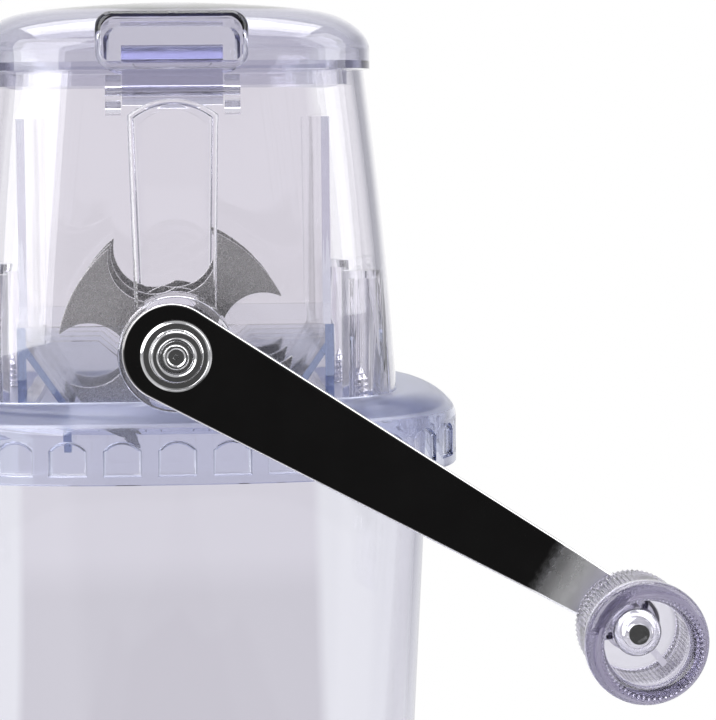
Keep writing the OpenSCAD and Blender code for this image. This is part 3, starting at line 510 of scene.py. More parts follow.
def polished_metal(name, colour, roughness, streak, grain, mottle=0.03, edge=None, worn=None):
    """Polished or plated metal with rolling grain and a faint mottle.

    edge is the colour off the flat faces, a painted highlight on the edges. The next argument gives a
    direction, the first and last place along it of a painted highlight, and its colour."""
    material, n = new_material(name)
    coordinates = n.coordinates()
    lines = n.noise(n.coordinates(grain), 1.0, 3.0, 0.6)
    patch = n.noise(coordinates, 90.0, 3.0)
    low = [max(0.0, c - mottle) for c in colour]
    high = [min(1.0, c + mottle) for c in colour]
    base = n.ramp(n.math("ADD", n.math("MULTIPLY", lines, 0.6), n.math("MULTIPLY", patch, 0.4)),
                  [(0.3, low), (0.7, high)])
    rough = n.span(lines, 0.3, 0.7, roughness * 0.7, roughness * 1.4)
    # Painted highlight: faces turned away from Y take the bright edge colour.
    if edge is not None:
        facing = n.axes(n.add("ShaderNodeNewGeometry").outputs["Normal"])[1]
        base = n.mix(n.span(n.math("ABSOLUTE", facing), 0.75, 0.93), edge, base)
    # Painted highlight: a pale band along the bend, standing in for the light it reflects, with more
    # roughness there.
    if worn is not None:
        direction, first, last, highlight_colour = worn
        along = n.add("ShaderNodeVectorMath", {0: coordinates, 1: direction}, operation="DOT_PRODUCT")
        ragged = n.span(n.noise(coordinates, 700.0, 3.0), 0.3, 0.7, -0.5 * MM, 0.5 * MM)
        along = n.math("ADD", along.outputs["Value"], ragged)
        share = n.within(along, first, last, 1.5 * MM)
        deeper = n.span(along, first + 6 * MM, first + 9 * MM, 0.8, 1.0)
        share = n.math("MULTIPLY", share, deeper)
        base = n.mix(share, base, highlight_colour)
        rough = n.math("ADD", rough, n.math("MULTIPLY", share, BEND_HIGHLIGHT_ROUGHNESS))
    shader = n.add("ShaderNodeBsdfPrincipled", {
        "Base Color": base, "Metallic": 1.0, "Roughness": rough, "Normal": n.bump(lines, streak, 0.1 * MM)})
    n.add("ShaderNodeOutputMaterial", {"Surface": shader.outputs[0]})
    return material


def moulded_plastic(name, colour, roughness):
    """Opaque moulded plastic with a fine skin texture."""
    material, n = new_material(name)
    coordinates = n.coordinates()
    skin = n.noise(coordinates, 1500.0, 3.0)
    patch = n.noise(coordinates, 120.0)
    base = n.ramp(patch, [(0.3, [c * 0.95 for c in colour]), (0.7, colour)])
    shader = n.add("ShaderNodeBsdfPrincipled", {
        "Base Color": base, "Roughness": n.span(skin, 0.3, 0.7, roughness * 0.8, roughness * 1.2),
        "Normal": n.bump(skin, 0.15, 0.1 * MM)})
    n.add("ShaderNodeOutputMaterial", {"Surface": shader.outputs[0]})
    return material


def painted_bend_highlight():
    """Direction along the resting crank arm, the ends of its bend along it, and the colour of the highlight
    painted there.
    """
    scene = bpy.context.scene
    plan = Plan(scene)
    crank = plan.crank
    direction = Vector((math.cos(crank.turn), 0, math.sin(crank.turn)))
    stud = plan.axle_z * direction.z + crank.length
    return direction, stud - crank.highlight_from, stud - crank.highlight_to, scene.crusher_colour.worn


def frosted_deck():
    """Levels between which the collar carries its fine matt texture, from deck to shoulder top."""
    plan = Plan(bpy.context.scene)
    return plan.deck_z - 2 * FROST_SOFT, plan.shoulder_top + MM


MATERIALS = {}


def look(key):
    """The material of that name, made on first use."""
    if key not in MATERIALS:
        colours = bpy.context.scene.crusher_colour
        make = {
            "clear": lambda: clear_plastic("clear_plastic", colours.clear, 110.0),
            "hopper": lambda: clear_plastic("hopper_plastic", colours.clear, 20.0, (0.95, 0.943, 0.965)),
            "collar": lambda: clear_plastic("collar_plastic", colours.collar, 60.0, (0.78, 0.80, 0.90),
                                            frost=frosted_deck()),
            "lid": lambda: clear_plastic("lid_plastic", colours.lid, 110.0, (0.885, 0.885, 0.92)),
            "tinted": lambda: clear_plastic("tinted_plastic", colours.tinted, 32.0, haze=0.07),
            "knob": lambda: clear_plastic("knob_plastic", colours.knob, 90.0, (0.86, 0.85, 0.90)),
            # The blades' edges take a painted highlight, partly the bright ground steel.
            "blade": lambda: polished_metal("blade_steel", colours.blade, 0.26, 0.05,
                                            (2600.0, 2600.0, 2600.0), 0.01, colours.edge),
            "plate": lambda: polished_metal("zinc_steel", colours.plate, 0.08, 0.05, (900.0, 900.0, 900.0)),
            # The arm: chrome painted nearly black for the dark it reflects, with painted highlights on its
            # edges and on its bend.
            "arm": lambda: polished_metal("black_chrome", colours.arm, 0.07, 0.03, (100.0, 900.0, 100.0),
                                          0.008, colours.edge, painted_bend_highlight()),
            "peg": lambda: moulded_plastic("white_plastic", colours.peg, 0.4),
            "bush": lambda: moulded_plastic("bush_plastic", colours.bush, 0.35),
        }[key]
        MATERIALS[key] = make()
    return MATERIALS[key]


# ------------------------------------------------------------------ solids


def superellipse(half_w, half_d, square, turn):
    """The point at that turn of a rounded rectangle; a squareness of 2 makes it an ellipse."""
    c, s = math.cos(turn), math.sin(turn)
    return (half_w * math.copysign(abs(c) ** (2 / square), c),
            half_d * math.copysign(abs(s) ** (2 / square), s))


def even_turns(half_w, half_d, square, count):
    """Turns that space points evenly round a superellipse, the same in all four quarters."""
    fine = 2400
    walk, point = [0.0], superellipse(half_w, half_d, square, 0.0)
    for u in steps(fine, 1):
        following = superellipse(half_w, half_d, square, math.pi / 2 * u)
        walk.append(walk[-1] + math.dist(point, following))
        point = following
    quarter, turns, at = count // 4, [], 0
    for k in range(quarter):
        goal = walk[-1] * k / quarter
        while walk[at + 1] < goal:
            at += 1
        turns.append(math.pi / 2 * (at + (goal - walk[at]) / (walk[at + 1] - walk[at])) / fine)
    mirrored = [math.pi / 2] + [math.pi - t for t in reversed(turns[1:])]
    half = turns + mirrored
    return half + [t + math.pi for t in half]


def full_turns(count):
    """Even turns all the way round."""
    return [math.tau * i / count for i in range(count)]


def moved(bm, matrix):
    """The same mesh, moved by the matrix."""
    bmesh.ops.transform(bm, matrix=matrix, verts=bm.verts)
    return bm


def new_verts(made):
    """The vertices that a bmesh operator has made."""
    return [g for g in made["geom"] if isinstance(g, bmesh.types.BMVert)]


def ring_solid(turns, sections, place):
    """A closed solid of rings; place gives each point from its turn and its section."""
    bm = bmesh.new()
    layer = bm.verts.layers.float.new("turn")
    ring = bmesh.ops.create_circle(bm, segments=len(turns), radius=1.0)["verts"]
    for vert, turn in zip(ring, turns):
        vert[layer] = turn
    for vert in ring:
        vert.co = place(vert[layer], sections[0])
    edges = list(bm.edges)
    bmesh.ops.contextual_create(bm, geom=edges)
    for section in sections[1:]:
        made = bmesh.ops.extrude_edge_only(bm, edges=edges)
        ring = set(new_verts(made))
        edges = [g for g in made["geom"] if isinstance(g, bmesh.types.BMEdge) and ring.issuperset(g.verts)]
        for vert in ring:
            vert.co = place(vert[layer], section)
    bmesh.ops.contextual_create(bm, geom=edges)
    bmesh.ops.recalc_face_normals(bm, faces=bm.faces)
    return bm


def loft(sections, count=160):
    """A closed solid through superellipse sections (half width, half depth, squareness, height)."""
    turns = even_turns(*sections[len(sections) // 2][:3], count)
    return ring_solid(turns, sections, lambda turn, s: (*superellipse(*s[:3], turn), s[3]))


def round_edges(bm, width, chosen, segments=3):
    """Bevel the edges whose two ends are both chosen."""
    edges = [e for e in bm.edges if all(chosen(v) for v in e.verts)]
    bmesh.ops.bevel(bm, geom=edges, offset=width, offset_type="OFFSET", segments=segments, profile=0.5,
                    affect="EDGES", clamp_overlap=True, material=-1)


def prism(points, low, high, plane="XZ"):
    """A closed outline pushed from low to high: XZ outlines go along Y and YZ outlines along X."""
    spread = {"XZ": lambda u, v: (u, low, v), "YZ": lambda u, v: (low, u, v)}[plane]
    push = {"XZ": (0, high - low, 0), "YZ": (high - low, 0, 0)}[plane]
    bm = bmesh.new()
    face = bm.faces.new([bm.verts.new(spread(u, v)) for u, v in points])
    made = bmesh.ops.extrude_face_region(bm, geom=[face])
    bmesh.ops.translate(bm, vec=push, verts=new_verts(made))
    bmesh.ops.recalc_face_normals(bm, faces=bm.faces)
    return bm


def arc(cu, cv, radius, start, end, count):
    """Points on an arc in degrees, both ends included."""
    turns = [math.radians(blend(start, end, u)) for u in steps(count)]
    return [(cu + radius * math.cos(turn), cv + radius * math.sin(turn)) for turn in turns]


def rise_radius(half, rise):
    """Radius of the arc that rises that far over the half width."""
    return (half * half + rise * rise) / (2 * rise)


def arched(low, high, height, radius, count):
    """A panel standing on zero: low is its half width at the foot, high at the arc that closes its top."""
    half = math.degrees(math.asin(high / radius))
    return [(-low, 0), (low, 0)] + arc(0, height - radius, radius, 90 - half, 90 + half, count)


def rounded(half, height, radius):
    """A rectangle standing on zero with rounded corners."""
    left, right, top = radius - half, half - radius, height - radius
    places = ((left, radius, 180), (right, radius, 270), (right, top, 0), (left, top, 90))
    return [point for u, v, start in places for point in arc(u, v, radius, start, start + 90, 8)]


def rod(radius, start, end, x=0.0, z=0.0, segments=96, axis="Y"):
    """A cylinder from start to end along Y, X or Z; x and z place its axis (for Z they are x and y)."""
    middle = (start + end) / 2
    turn = {"Y": Matrix.Rotation(-math.pi / 2, 4, "X"), "X": Matrix.Rotation(math.pi / 2, 4, "Y"),
            "Z": Matrix.Identity(4)}[axis]
    place = {"Y": (x, middle, z), "X": (middle, x, z), "Z": (x, z, middle)}[axis]
    bm = bmesh.new()
    bmesh.ops.create_cone(bm, cap_ends=True, segments=segments, radius1=radius, radius2=radius,
                          depth=end - start)
    return moved(bm, Matrix.Translation(place) @ turn)


def block(low, high):
    """A box between two corners."""
    low, high = Vector(low), Vector(high)
    bm = bmesh.new()
    bmesh.ops.create_cube(bm, size=1.0)
    return moved(bm, Matrix.Translation((low + high) / 2) @ Matrix.Diagonal((*(high - low), 1.0)))


def lathe(profile, segments, place, turn=OUTWARDS):
    """Spin a profile of (radius, height) points; the height stands out towards the crank side."""
    bm = bmesh.new()
    verts = [bm.verts.new((r, 0, h)) for r, h in profile]
    edges = [bm.edges.new(pair) for pair in zip(verts, verts[1:])]
    bmesh.ops.spin(bm, geom=verts + edges, cent=(0, 0, 0), axis=(0, 0, 1), angle=math.tau, steps=segments,
                   use_merge=True, use_duplicate=False)
    bmesh.ops.remove_doubles(bm, verts=bm.verts, dist=1e-7)
    bmesh.ops.holes_fill(bm, edges=[e for e in bm.edges if e.is_boundary])
    bmesh.ops.recalc_face_normals(bm, faces=bm.faces)
    return moved(bm, Matrix.Translation(place) @ turn)


def linked(name, data):
    """A new object of that data, linked to the scene."""
    made = bpy.data.objects.new(name, data)
    bpy.context.scene.collection.objects.link(made)
    return made


def solid(shape, name="work"):
    """The shape as an object, for boolean steps and modifiers."""
    if isinstance(shape, bpy.types.Object):
        return shape
    mesh = bpy.data.meshes.new(name)
    shape.to_mesh(mesh)
    shape.free()
    return linked(name, mesh)


def settle(piece):
    """Make the piece's mesh what its modifiers show."""
    mesh = bpy.data.meshes.new_from_object(piece.evaluated_get(bpy.context.evaluated_depsgraph_get()))
    piece.modifiers.clear()
    piece.data = mesh


def combine(operation, base, *others):
    """Join, cut or trim the base by the others, which are used up."""
    base = solid(base)
    others = [solid(other) for other in others]
    for other in others:
        step = base.modifiers.new("step", "BOOLEAN")
        step.operation = operation
        step.solver = "MANIFOLD"
        step.object = other
    settle(base)
    for other in others:
        bpy.data.objects.remove(other)
    if not base.data.polygons:
        raise RuntimeError("a boolean step left nothing")
    return base


def join(base, *others):
    return combine("UNION", base, *others)


def cut(base, *others):
    return combine("DIFFERENCE", base, *others)


def trim(base, *others):
    return combine("INTERSECT", base, *others)


# ------------------------------------------------------------------ pieces


def finish(piece, name, node, body, material, bevel=0.0):
    """Clean a working solid, round its edges, shade it, give it its material and hand it to the frame."""
    piece = solid(piece)
    bm = bmesh.new()
    bm.from_mesh(piece.data)
    bmesh.ops.remove_doubles(bm, verts=bm.verts, dist=1e-6)
    bm.to_mesh(piece.data)
    bm.free()
    if bevel:
        soften = piece.modifiers.new("soften", "BEVEL")
        soften.width = bevel
        soften.segments = 2
        soften.limit_method = "ANGLE"
        soften.angle_limit = SOFTENED_ANGLE
        soften.use_clamp_overlap = True
    settle(piece)
    piece.data.shade_smooth()
    piece.data.set_sharp_from_angle(angle=SHARP_ANGLE)
    piece.modifiers.new("weigh", "WEIGHTED_NORMAL").keep_sharp = True
    settle(piece)
    piece.name = piece.data.name = name
    piece.data.materials.clear()
    piece.data.materials.append(material)
    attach(piece, body)
    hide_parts(node)


class CRUSHER_OT_container(Operator):
    """Build the tapering container as one shell with a rounded rim and foot"""

    bl_idname = "crusher.container"
    bl_label = "Container"

    def execute(self, context):
        plan = Plan(context.scene)
        box = plan.container
        foot, wall, lip = box.foot, box.wall, box.wall / 2
        top_z, low_z = box.height - lip, box.floor + foot
        quarter, half = math.pi / 2, math.pi
        outline = []
        for u in steps(6):
            back, up = foot * (1 - math.sin(quarter * u)), foot * (1 - math.cos(quarter * u))
            outline.append((plan.container_half(foot, back), up))
        for u in steps(5, 1)[:-1]:
            z = blend(foot, top_z, u)
            outline.append((plan.container_half(z), z))
        for u in steps(8):
            back = lip * (1 - math.cos(half * u))
            outline.append((plan.container_half(box.height, back), top_z + lip * math.sin(half * u)))
        for u in steps(5, 1):
            z = blend(top_z, low_z, u)
            outline.append((plan.container_half(z, wall), z))
        for u in steps(6, 1):
            back = wall + foot * (1 - math.cos(quarter * u))
            outline.append((plan.container_half(low_z, back), low_z - foot * math.sin(quarter * u)))
        shell = loft([(*size, box.square, z) for size, z in outline], 240)
        finish(shell, "container_shell", "container", "container", look("clear"))
        return {"FINISHED"}


class CRUSHER_OT_collar(Operator):
    """Build the collar with its deck, shoulder and grip flutes"""

    bl_idname = "crusher.collar"
    bl_label = "Collar"

    def flutes(self, plan):
        """Cutters for the scooped grip flutes, evenly spaced round the skirt."""
        shape = plan.collar
        w, depth = shape.flute_w, shape.flute_depth
        outline = arched(w / 2, w / 2, shape.flute_h, w * 5 / 8, 16)
        plan_size = shape.width / 2, shape.depth / 2, shape.square
        cutters = []
        for turn in even_turns(*plan_size, shape.flute_count):
            x, y = superellipse(*plan_size, turn)
            before, after = (Vector(superellipse(*plan_size, turn + aside)) for aside in (-0.01, 0.01))
            along = after - before
            flute = prism(outline, -3 * MM, depth)
            round_edges(flute, shape.flute_round, lambda v: v.co.y > depth - TINY, 4)
            cutters.append(moved(flute, Matrix.Translation((x, y, plan.skirt_z + shape.flute_up))
                                 @ Matrix.Rotation(math.atan2(along.y, along.x), 4, "Z")))
        return cutters

    def execute(self, context):
        plan = Plan(context.scene)
        shape, hopper, insert, screws = plan.collar, plan.hopper, plan.insert, plan.fastener
        low, high = (plan.hopper_half(z, -SLIP) for z in (plan.deck_top, plan.shoulder_top))
        spout = insert.spout_half_w + insert.wall + SLIP
        reach = insert.depth / 2 - insert.wall
        cutters = [
            plan.collar_body(shape.wall, plan.skirt_z - PAST, plan.deck_z),
            loft([(*low, hopper.square, plan.deck_top), (*high, hopper.square, plan.shoulder_top + SLIVER)]),
            rod(hopper.boss_r + GAP, -shape.depth, -plan.front_in_y, z=plan.axle_z),
            block((-spout, -reach, plan.deck_z - PAST), (spout, reach, plan.deck_top + PAST)),
        ]
        for x, y in corners(screws.screw_x, screws.screw_y):
            cutters.append(rod(screws.screw_r + GAP, plan.deck_z - PAST, plan.deck_top + PAST, x, y, 48, "Z"))
        shell = cut(plan.collar_body(0.0, plan.skirt_z, plan.shoulder_top), *cutters, *self.flutes(plan))
        finish(shell, "collar_shell", "collar", "head", look("collar"))
        return {"FINISHED"}


class CRUSHER_OT_hopper(Operator):
    """Build the tapering hopper with its spines, bosses, lugs, posts and chute walls"""

    bl_idname = "crusher.hopper"
    bl_label = "Hopper"

    def spines(self, plan, inset, out, bevel):
        """The front and rear spines, drawn in by the inset and standing out of the wall."""
        shape = plan.hopper
        high, low = shape.spine_w / 2 - inset, shape.spine_low_w / 2 - inset
        outline = arched(low, high, shape.spine_h - inset, rise_radius(high, shape.spine_arch), 24)
        spines = []
        for side in (0.0, math.pi):
            bm = prism(outline, -out, shape.wall + 2 * MM)
            if bevel:
                round_edges(bm, bevel, lambda v: v.co.y < TINY - out)
            spines.append(moved(bm, Matrix.Rotation(side, 4, "Z")
                                @ Matrix.Translation((0, -plan.front_wall_y, plan.axle_z))
                                @ Matrix.Rotation(-plan.wall_lean, 4, "X")))
        return spines

    def lugs(self, plan):
        """The two hinge lugs, each with the arm that carries it."""
        lid, y, z = plan.lid, plan.hinge_y, plan.hinge_z
        foot = plan.rim_z - 2.4 * lid.lug_r
        top_y, low_y = (plan.hopper_half(level)[1] - MM for level in (plan.rim_z, foot))
        arm = [(top_y, plan.rim_z), (y, z + lid.lug_r), (y, z - lid.lug_r), (low_y, z - 1.7 * lid.lug_r)]
        lugs = []
        for x in (plan.lug_in, -plan.lug_in - lid.lug_t):
            lugs += [rod(lid.lug_r, x, x + lid.lug_t, y, z, 72, "X"), prism(arm, x, x + lid.lug_t, "YZ")]
        return lugs

    def bosses(self, plan):
        """The front boss with its rounded rim, and the rear boss."""
        shape = plan.hopper
        r, front, start = shape.boss_r, shape.boss_y, plan.front_in_y + MM
        profile = [(0, start), (r, start), (r, front - 0.8 * MM), (r - 0.25 * MM, front - 0.25 * MM),
                   (r - 0.8 * MM, front), (0, front)]
        return [lathe(profile, 144, (0, 0, plan.axle_z)),
                rod(shape.rear_boss_r, start, shape.rear_boss_y, z=plan.axle_z)]

    def hollow(self, plan):
        """What the walls enclose, less the bosses that reach into it."""
        shape = plan.hopper
        wall, out = shape.wall, shape.spine_out
        spines = [trim(spine, plan.hopper_body(-out, plan.deck_top, plan.rim_z))
                  for spine in self.spines(plan, wall, out - wall, 0.0)]
        hollow = join(plan.hopper_body(wall, plan.deck_top - SLIVER, plan.rim_z + SLIVER), *spines)
        return cut(hollow, rod(shape.boss_r, -shape.boss_y, -plan.front_in_y, z=plan.axle_z, segments=144),
                   rod(shape.rear_boss_r, plan.front_in_y, shape.rear_boss_y, z=plan.axle_z))

    def posts_and_chute(self, plan):
        """The screw posts with their webs and the two chute walls, ending inside the hopper's wall."""
        shape, screws = plan.hopper, plan.fastener
        deck, top = plan.deck_top, plan.deck_top + screws.post_h
        chute = deck + plan.insert.height + 2 * SLIP
        parts = []
        for x, y in corners(screws.screw_x, screws.screw_y):
            left, right = sorted((x, math.copysign(shape.bottom_w / 2, x)))
            parts += [rod(screws.post_r, deck, top, x, y, 64, "Z"),
                      block((left, y - screws.post_web / 2, deck), (right, y + screws.post_web / 2, top))]
        for side in (-1, 1):
            left, right = sorted((side * shape.chute_w / 2, side * (shape.chute_w / 2 - shape.chute_wall)))
            parts.append(block((left, -shape.bottom_d / 2, chute),
                               (right, shape.bottom_d / 2, chute + shape.chute_h)))
        return [trim(part, plan.hopper_body(shape.wall / 2, deck + SLIP, plan.rim_z)) for part in parts]

    def holes(self, plan):
        """Bores for the bushes, the hinge pin and the screws, and the groove round the front bush."""
        shape, lid, screws = plan.hopper, plan.lid, plan.fastener
        front, z = -shape.boss_y, plan.axle_z
        groove = cut(rod(shape.boss_r - 1.8 * MM, front - PAST, -plan.front_wall_y - 3 * MM, z=z),
                     rod(shape.bush_flange_r + 0.6 * MM, front - 2 * PAST, -plan.front_wall_y, z=z))
        pin = lid.pad_half + 5 * MM
        holes = [rod(shape.bush_r + SLIP, front - PAST, -plan.front_in_y + 2 * MM, z=z),
                 rod(shape.bush_r - MM + SLIP, plan.front_in_y - 2 * MM, shape.rear_boss_y - 2.5 * MM, z=z),
                 groove,
                 rod(lid.pin_r + SLIP, -pin, pin, plan.hinge_y, plan.hinge_z, 48, "X")]
        low = plan.deck_top - PAST
        high = plan.deck_top + screws.post_h - screws.post_cap
        holes += [rod(screws.screw_r + SLIP, low, high, x, y, 48, "Z")
                  for x, y in corners(screws.screw_x, screws.screw_y)]
        return holes

    def execute(self, context):
        plan = Plan(context.scene)
        shape = plan.hopper
        shell = join(plan.hopper_body(0.0, plan.deck_top + SLIP, plan.rim_z),
                     *self.spines(plan, 0.0, shape.spine_out, shape.spine_round), *self.bosses(plan),
                     *self.lugs(plan))
        shell = join(cut(shell, self.hollow(plan)), *self.posts_and_chute(plan))
        shell = cut(shell, *self.holes(plan))
        finish(shell, "hopper_shell", "hopper", "head", look("hopper"))
        return {"FINISHED"}


class CRUSHER_OT_lid(Operator):
    """Build the domed lid with its pads, flange, lip and hinge knuckle"""

    bl_idname = "crusher.lid"
    bl_label = "Lid"

    # The dome's side, as shares of its half width and of its height.
    CURVE = ((1, 0.0), (1, 0.26), (0.996, 0.36), (0.972, 0.49), (0.912, 0.65), (0.81, 0.795), (0.657, 0.88),
             (0.39, 0.955), (0.12, 1.0))

    def fine_curve(self):
        """The curve with four points to each step, on a spline through its own points."""
        curve, fine = self.CURVE, []
        for i in range(1, len(curve) - 1):
            a, b, c, d = curve[i - 1], curve[i], curve[i + 1], curve[min(i + 2, len(curve) - 1)]
            for t in (0, 0.25, 0.5, 0.75):
                fine.append([0.5 * (2 * b[j] + (c[j] - a[j]) * t
                                    + (2 * a[j] - 5 * b[j] + 4 * c[j] - d[j]) * t ** 2
                                    + (3 * b[j] - a[j] - 3 * c[j] + d[j]) * t ** 3) for j in (0, 1)])
        return fine + [curve[-1]]

    def dome(self, plan, inset, low):
        """The domed body from a level above the hopper's rim, drawn in by the inset."""
        shape = plan.lid
        w, d, h = shape.width / 2 - inset, shape.depth / 2 - inset, shape.height - inset
        sections = [(w, d, shape.square, low)]
        for share, up in self.fine_curve():
            if up * h > low + 0.2 * MM:
                share = min(share, 1.0)
                sections.append((w * share, d * share, blend(2.2, shape.square, share), min(up, 1.0) * h))
        return moved(loft(sections, 200), Matrix.Translation((0, 0, plan.lid_z)))

    def pads(self, plan, inset, bevel):
        """The raised pads at front and rear, drawn in by the inset."""
        shape = plan.lid
        outline = rounded(shape.pad_half - inset, shape.height * 0.8 - inset, 4 * MM - inset / 2)
        front = -shape.depth / 2 - shape.pad_out + inset
        pads = []
        for side in (0.0, math.pi):
            bm = prism(outline, front, -shape.depth / 2 + 5 * shape.wall)
            if bevel:
                round_edges(bm, bevel, lambda v: v.co.y < front + TINY)
            pads.append(moved(bm, Matrix.Translation((0, 0, plan.lid_z)) @ Matrix.Rotation(side, 4, "Z")))
        return pads

    def hollow(self, plan):
        """What dome and pads enclose above the flange."""
        shape, reach = plan.lid, plan.lid.width
        above = (-reach, -reach, plan.lid_z + shape.flange_t), (reach, reach, plan.lid_z + shape.height)
        return join(self.dome(plan, shape.wall, shape.flange_t),
                    *[trim(pad, block(*above)) for pad in self.pads(plan, shape.pad_wall, 0.0)])

    def knuckle(self, plan):
        """The hinge knuckle between the hopper's lugs, and the arm that joins it to the lid."""
        shape, y, z, r = plan.lid, plan.hinge_y, plan.hinge_z, plan.lid.lug_r
        out = plan.lug_in - GAP
        back = shape.depth / 2
        top_z = plan.lid_z + 0.45 * shape.height
        arm = [(back + 0.6 * MM, z), (y + r, z), (y + r, plan.lid_z + 0.17 * shape.height),
               (back + shape.pad_out, top_z), (back, top_z)]
        return rod(r, -out, out, y, z, 72, "X"), prism(arm, -out, out, "YZ")

    def execute(self, context):
        plan = Plan(context.scene)
        shape, z, square = plan.lid, plan.lid_z, plan.hopper.square
        low, edge, mouth_edge = z - shape.lip, plan.lip, [half - shape.lip_wall for half in plan.lip]
        mouth = loft([(*mouth_edge, square, low - PAST),
                      (*mouth_edge, square, z + shape.flange_t + SLIVER)], 200)
        shell = join(self.dome(plan, 0.0, 0.0), *self.pads(plan, 0.0, shape.pad_round))
        shell = cut(shell, self.hollow(plan))
        lip = loft([(*edge, square, low), (*edge, square, z + 0.5 * MM)], 200)
        shell = join(cut(join(shell, lip), mouth), *self.knuckle(plan))
        pin = plan.lug_in + PAST
        shell = cut(shell, rod(shape.pin_r + SLIP, -pin, pin, plan.hinge_y, plan.hinge_z, 48, "X"))
        finish(shell, "lid_shell", "lid", "lid", look("lid"))
        return {"FINISHED"}


class CRUSHER_OT_insert(Operator):
    """Build the tinted insert with its slopes, spout, crushing ribs and panels"""

    bl_idname = "crusher.insert"
    bl_label = "Crusher insert"

    def end_walls(self, plan):
        """The front and rear walls, each with the notch that clears the axle's spacers."""
        shape = plan.insert
        half, deep, high = shape.width / 2, shape.depth / 2, shape.height
        notch = plan.rotor.spacer_r + 1.5 * MM
        outline = [(-half, 0), (half, 0), (half, high), (notch, high)]
        outline += arc(0, plan.hopper.axle_up, notch, 0, -180, 24) + [(-notch, high), (-half, high)]
        return [prism(outline, y, y + shape.wall) for y in (-deep, deep - shape.wall)]

    def side_wall(self, plan, side):
        """One side wall with its slope, its half of the spout, its foot and its four crushing ribs."""
        shape, rotor, up = plan.insert, plan.rotor, plan.hopper.axle_up
        half, deep, wall, spout = shape.width / 2, shape.depth / 2, shape.wall, shape.spout_half_w
        top = shape.height - shape.rail_h
        drop = -plan.collar.deck_t - shape.spout_drop
        reach = rotor.spacer_r + shape.rib_gap
        slope = [(half - wall, top), (half - wall, top - 3 * MM), (spout + wall, 0)]
        foot = [(half, 0), (half - 2 * wall, 0), (half - 2 * wall, 2 * MM), (half, 2 * MM)]
        rib = [(half - wall, top), (spout, 0), (reach, 0), (reach, up - 7 * MM), (reach + 9 * MM, top)]

        def bar(outline, low, high):
            return prism([(side * u, v) for u, v in outline], low, high)

        edges = sorted((side * half, side * (half - wall)))
        parts = [block((edges[0], -deep, 0), (edges[1], deep, shape.height)),
                 bar(slope + [(spout + wall, drop), (spout, drop), (spout, 0)], -deep + wall + SLIP,
                     deep - wall - SLIP),
                 bar(slope + [(spout, 0)], -deep + wall / 2, deep - wall / 2),
                 bar(foot, -deep, deep)]
        for i in range(rotor.blades - 1):
            y = (i - (rotor.blades - 2) / 2) * rotor.pitch
            clear = rod(reach, y - shape.rib_t, y + shape.rib_t, z=up)
            parts.append(cut(bar(rib, y - shape.rib_t / 2, y + shape.rib_t / 2), clear))
        return parts

    def panels(self, plan):
        """Cutters for the sunk panels in the front and rear walls."""
        shape, spacer_r = plan.insert, plan.rotor.spacer_r
        half, deep = shape.width / 2, shape.depth / 2
        outline = rounded((half - spacer_r - 8 * MM) / 2, shape.height - shape.rail_h - MM, 3.2 * MM)
        middle = (half + spacer_r + 5 * MM) / 2
        return [moved(prism(outline, -deep - PAST, -deep + shape.wall * 0.45),
                      Matrix.Rotation(turn, 4, "Z") @ Matrix.Translation((side * middle, 0, MM)))
                for side in (-1, 1) for turn in (0.0, math.pi)]

    def execute(self, context):
        plan = Plan(context.scene)
        shell = join(*self.end_walls(plan), *self.side_wall(plan, -1), *self.side_wall(plan, 1))
        shell = cut(shell, *self.panels(plan))
        shell.data.transform(Matrix.Translation((0, 0, plan.deck_top + SLIP)))
        finish(shell, "insert_shell", "crusher_insert", "head", look("tinted"),
               plan.insert.edge_round)
        return {"FINISHED"}


class CRUSHER_OT_blades(Operator):
    """Build the five clawed blades with ground edges"""

    bl_idname = "crusher.blades"
    bl_label = "Blades"

    def outline(self, shape):
        """A blade with two claws, its first claw along +X."""
        half, turn, hub, scoop, far = (shape.claw_half, shape.scallop_turn, shape.hub_r, shape.scallop_r,
                                       shape.scallop_at)
        front, side = shape.radius * math.cos(half), shape.radius * math.sin(half)
        big = rise_radius(side, shape.claw_sag)
        spread = math.degrees(math.asin(side / big))
        claw = arc(front + shape.claw_sag - big, 0, big, -spread, spread, 28)
        away = turn - half
        near = far * math.cos(away) + math.sqrt(scoop ** 2 - (far * math.sin(away)) ** 2)
        centre = far * math.cos(turn), far * math.sin(turn)
        end_turn = turn + math.acos((far ** 2 + hub ** 2 - scoop ** 2) / (2 * far * hub))

        def seen_from_centre(radius, at):
            """Direction from the scallop's centre to a point of that radius and turn about the axle."""
            return math.degrees(math.atan2(radius * math.sin(at) - centre[1],
                                           radius * math.cos(at) - centre[0])) % 360

        start, end = seen_from_centre(near, half), seen_from_centre(hub, end_turn)
        upper = arc(*centre, scoop, start + 360 if start < end else start, end, 36)
        hub_side = arc(0, 0, hub, math.degrees(end_turn), 180 - math.degrees(end_turn), 14)[1:-1]
        one = [(u, -v) for u, v in reversed(upper)] + claw + upper + hub_side
        return one + [(-u, -v) for u, v in one]

    def execute(self, context):
        plan = Plan(context.scene)
        shape = plan.rotor
        outline = self.outline(shape)
        half = shape.blade_t / 2
        side = shape.axle_sq / 2 + SLIP
        for i in range(shape.blades):
            at = plan.at_axle((i - (shape.blades - 1) / 2) * shape.pitch)
            turn = shape.claw_turn + (shape.stagger if i % 2 else 0.0)
            plate = prism(outline, -half, half)
            round_edges(plate, shape.edge, lambda v: abs(abs(v.co.y) - half) < TINY, 2)
            plate = moved(plate, at @ Matrix.Rotation(-turn, 4, "Y"))
            square = moved(block((-side, -shape.blade_t, -side), (side, shape.blade_t, side)),
                           at @ Matrix.Rotation(-plan.crank.turn, 4, "Y"))
            finish(cut(plate, square), f"blade_plate_{i + 1}", f"blade_{i + 1}", "crank", look("blade"))
        return {"FINISHED"}


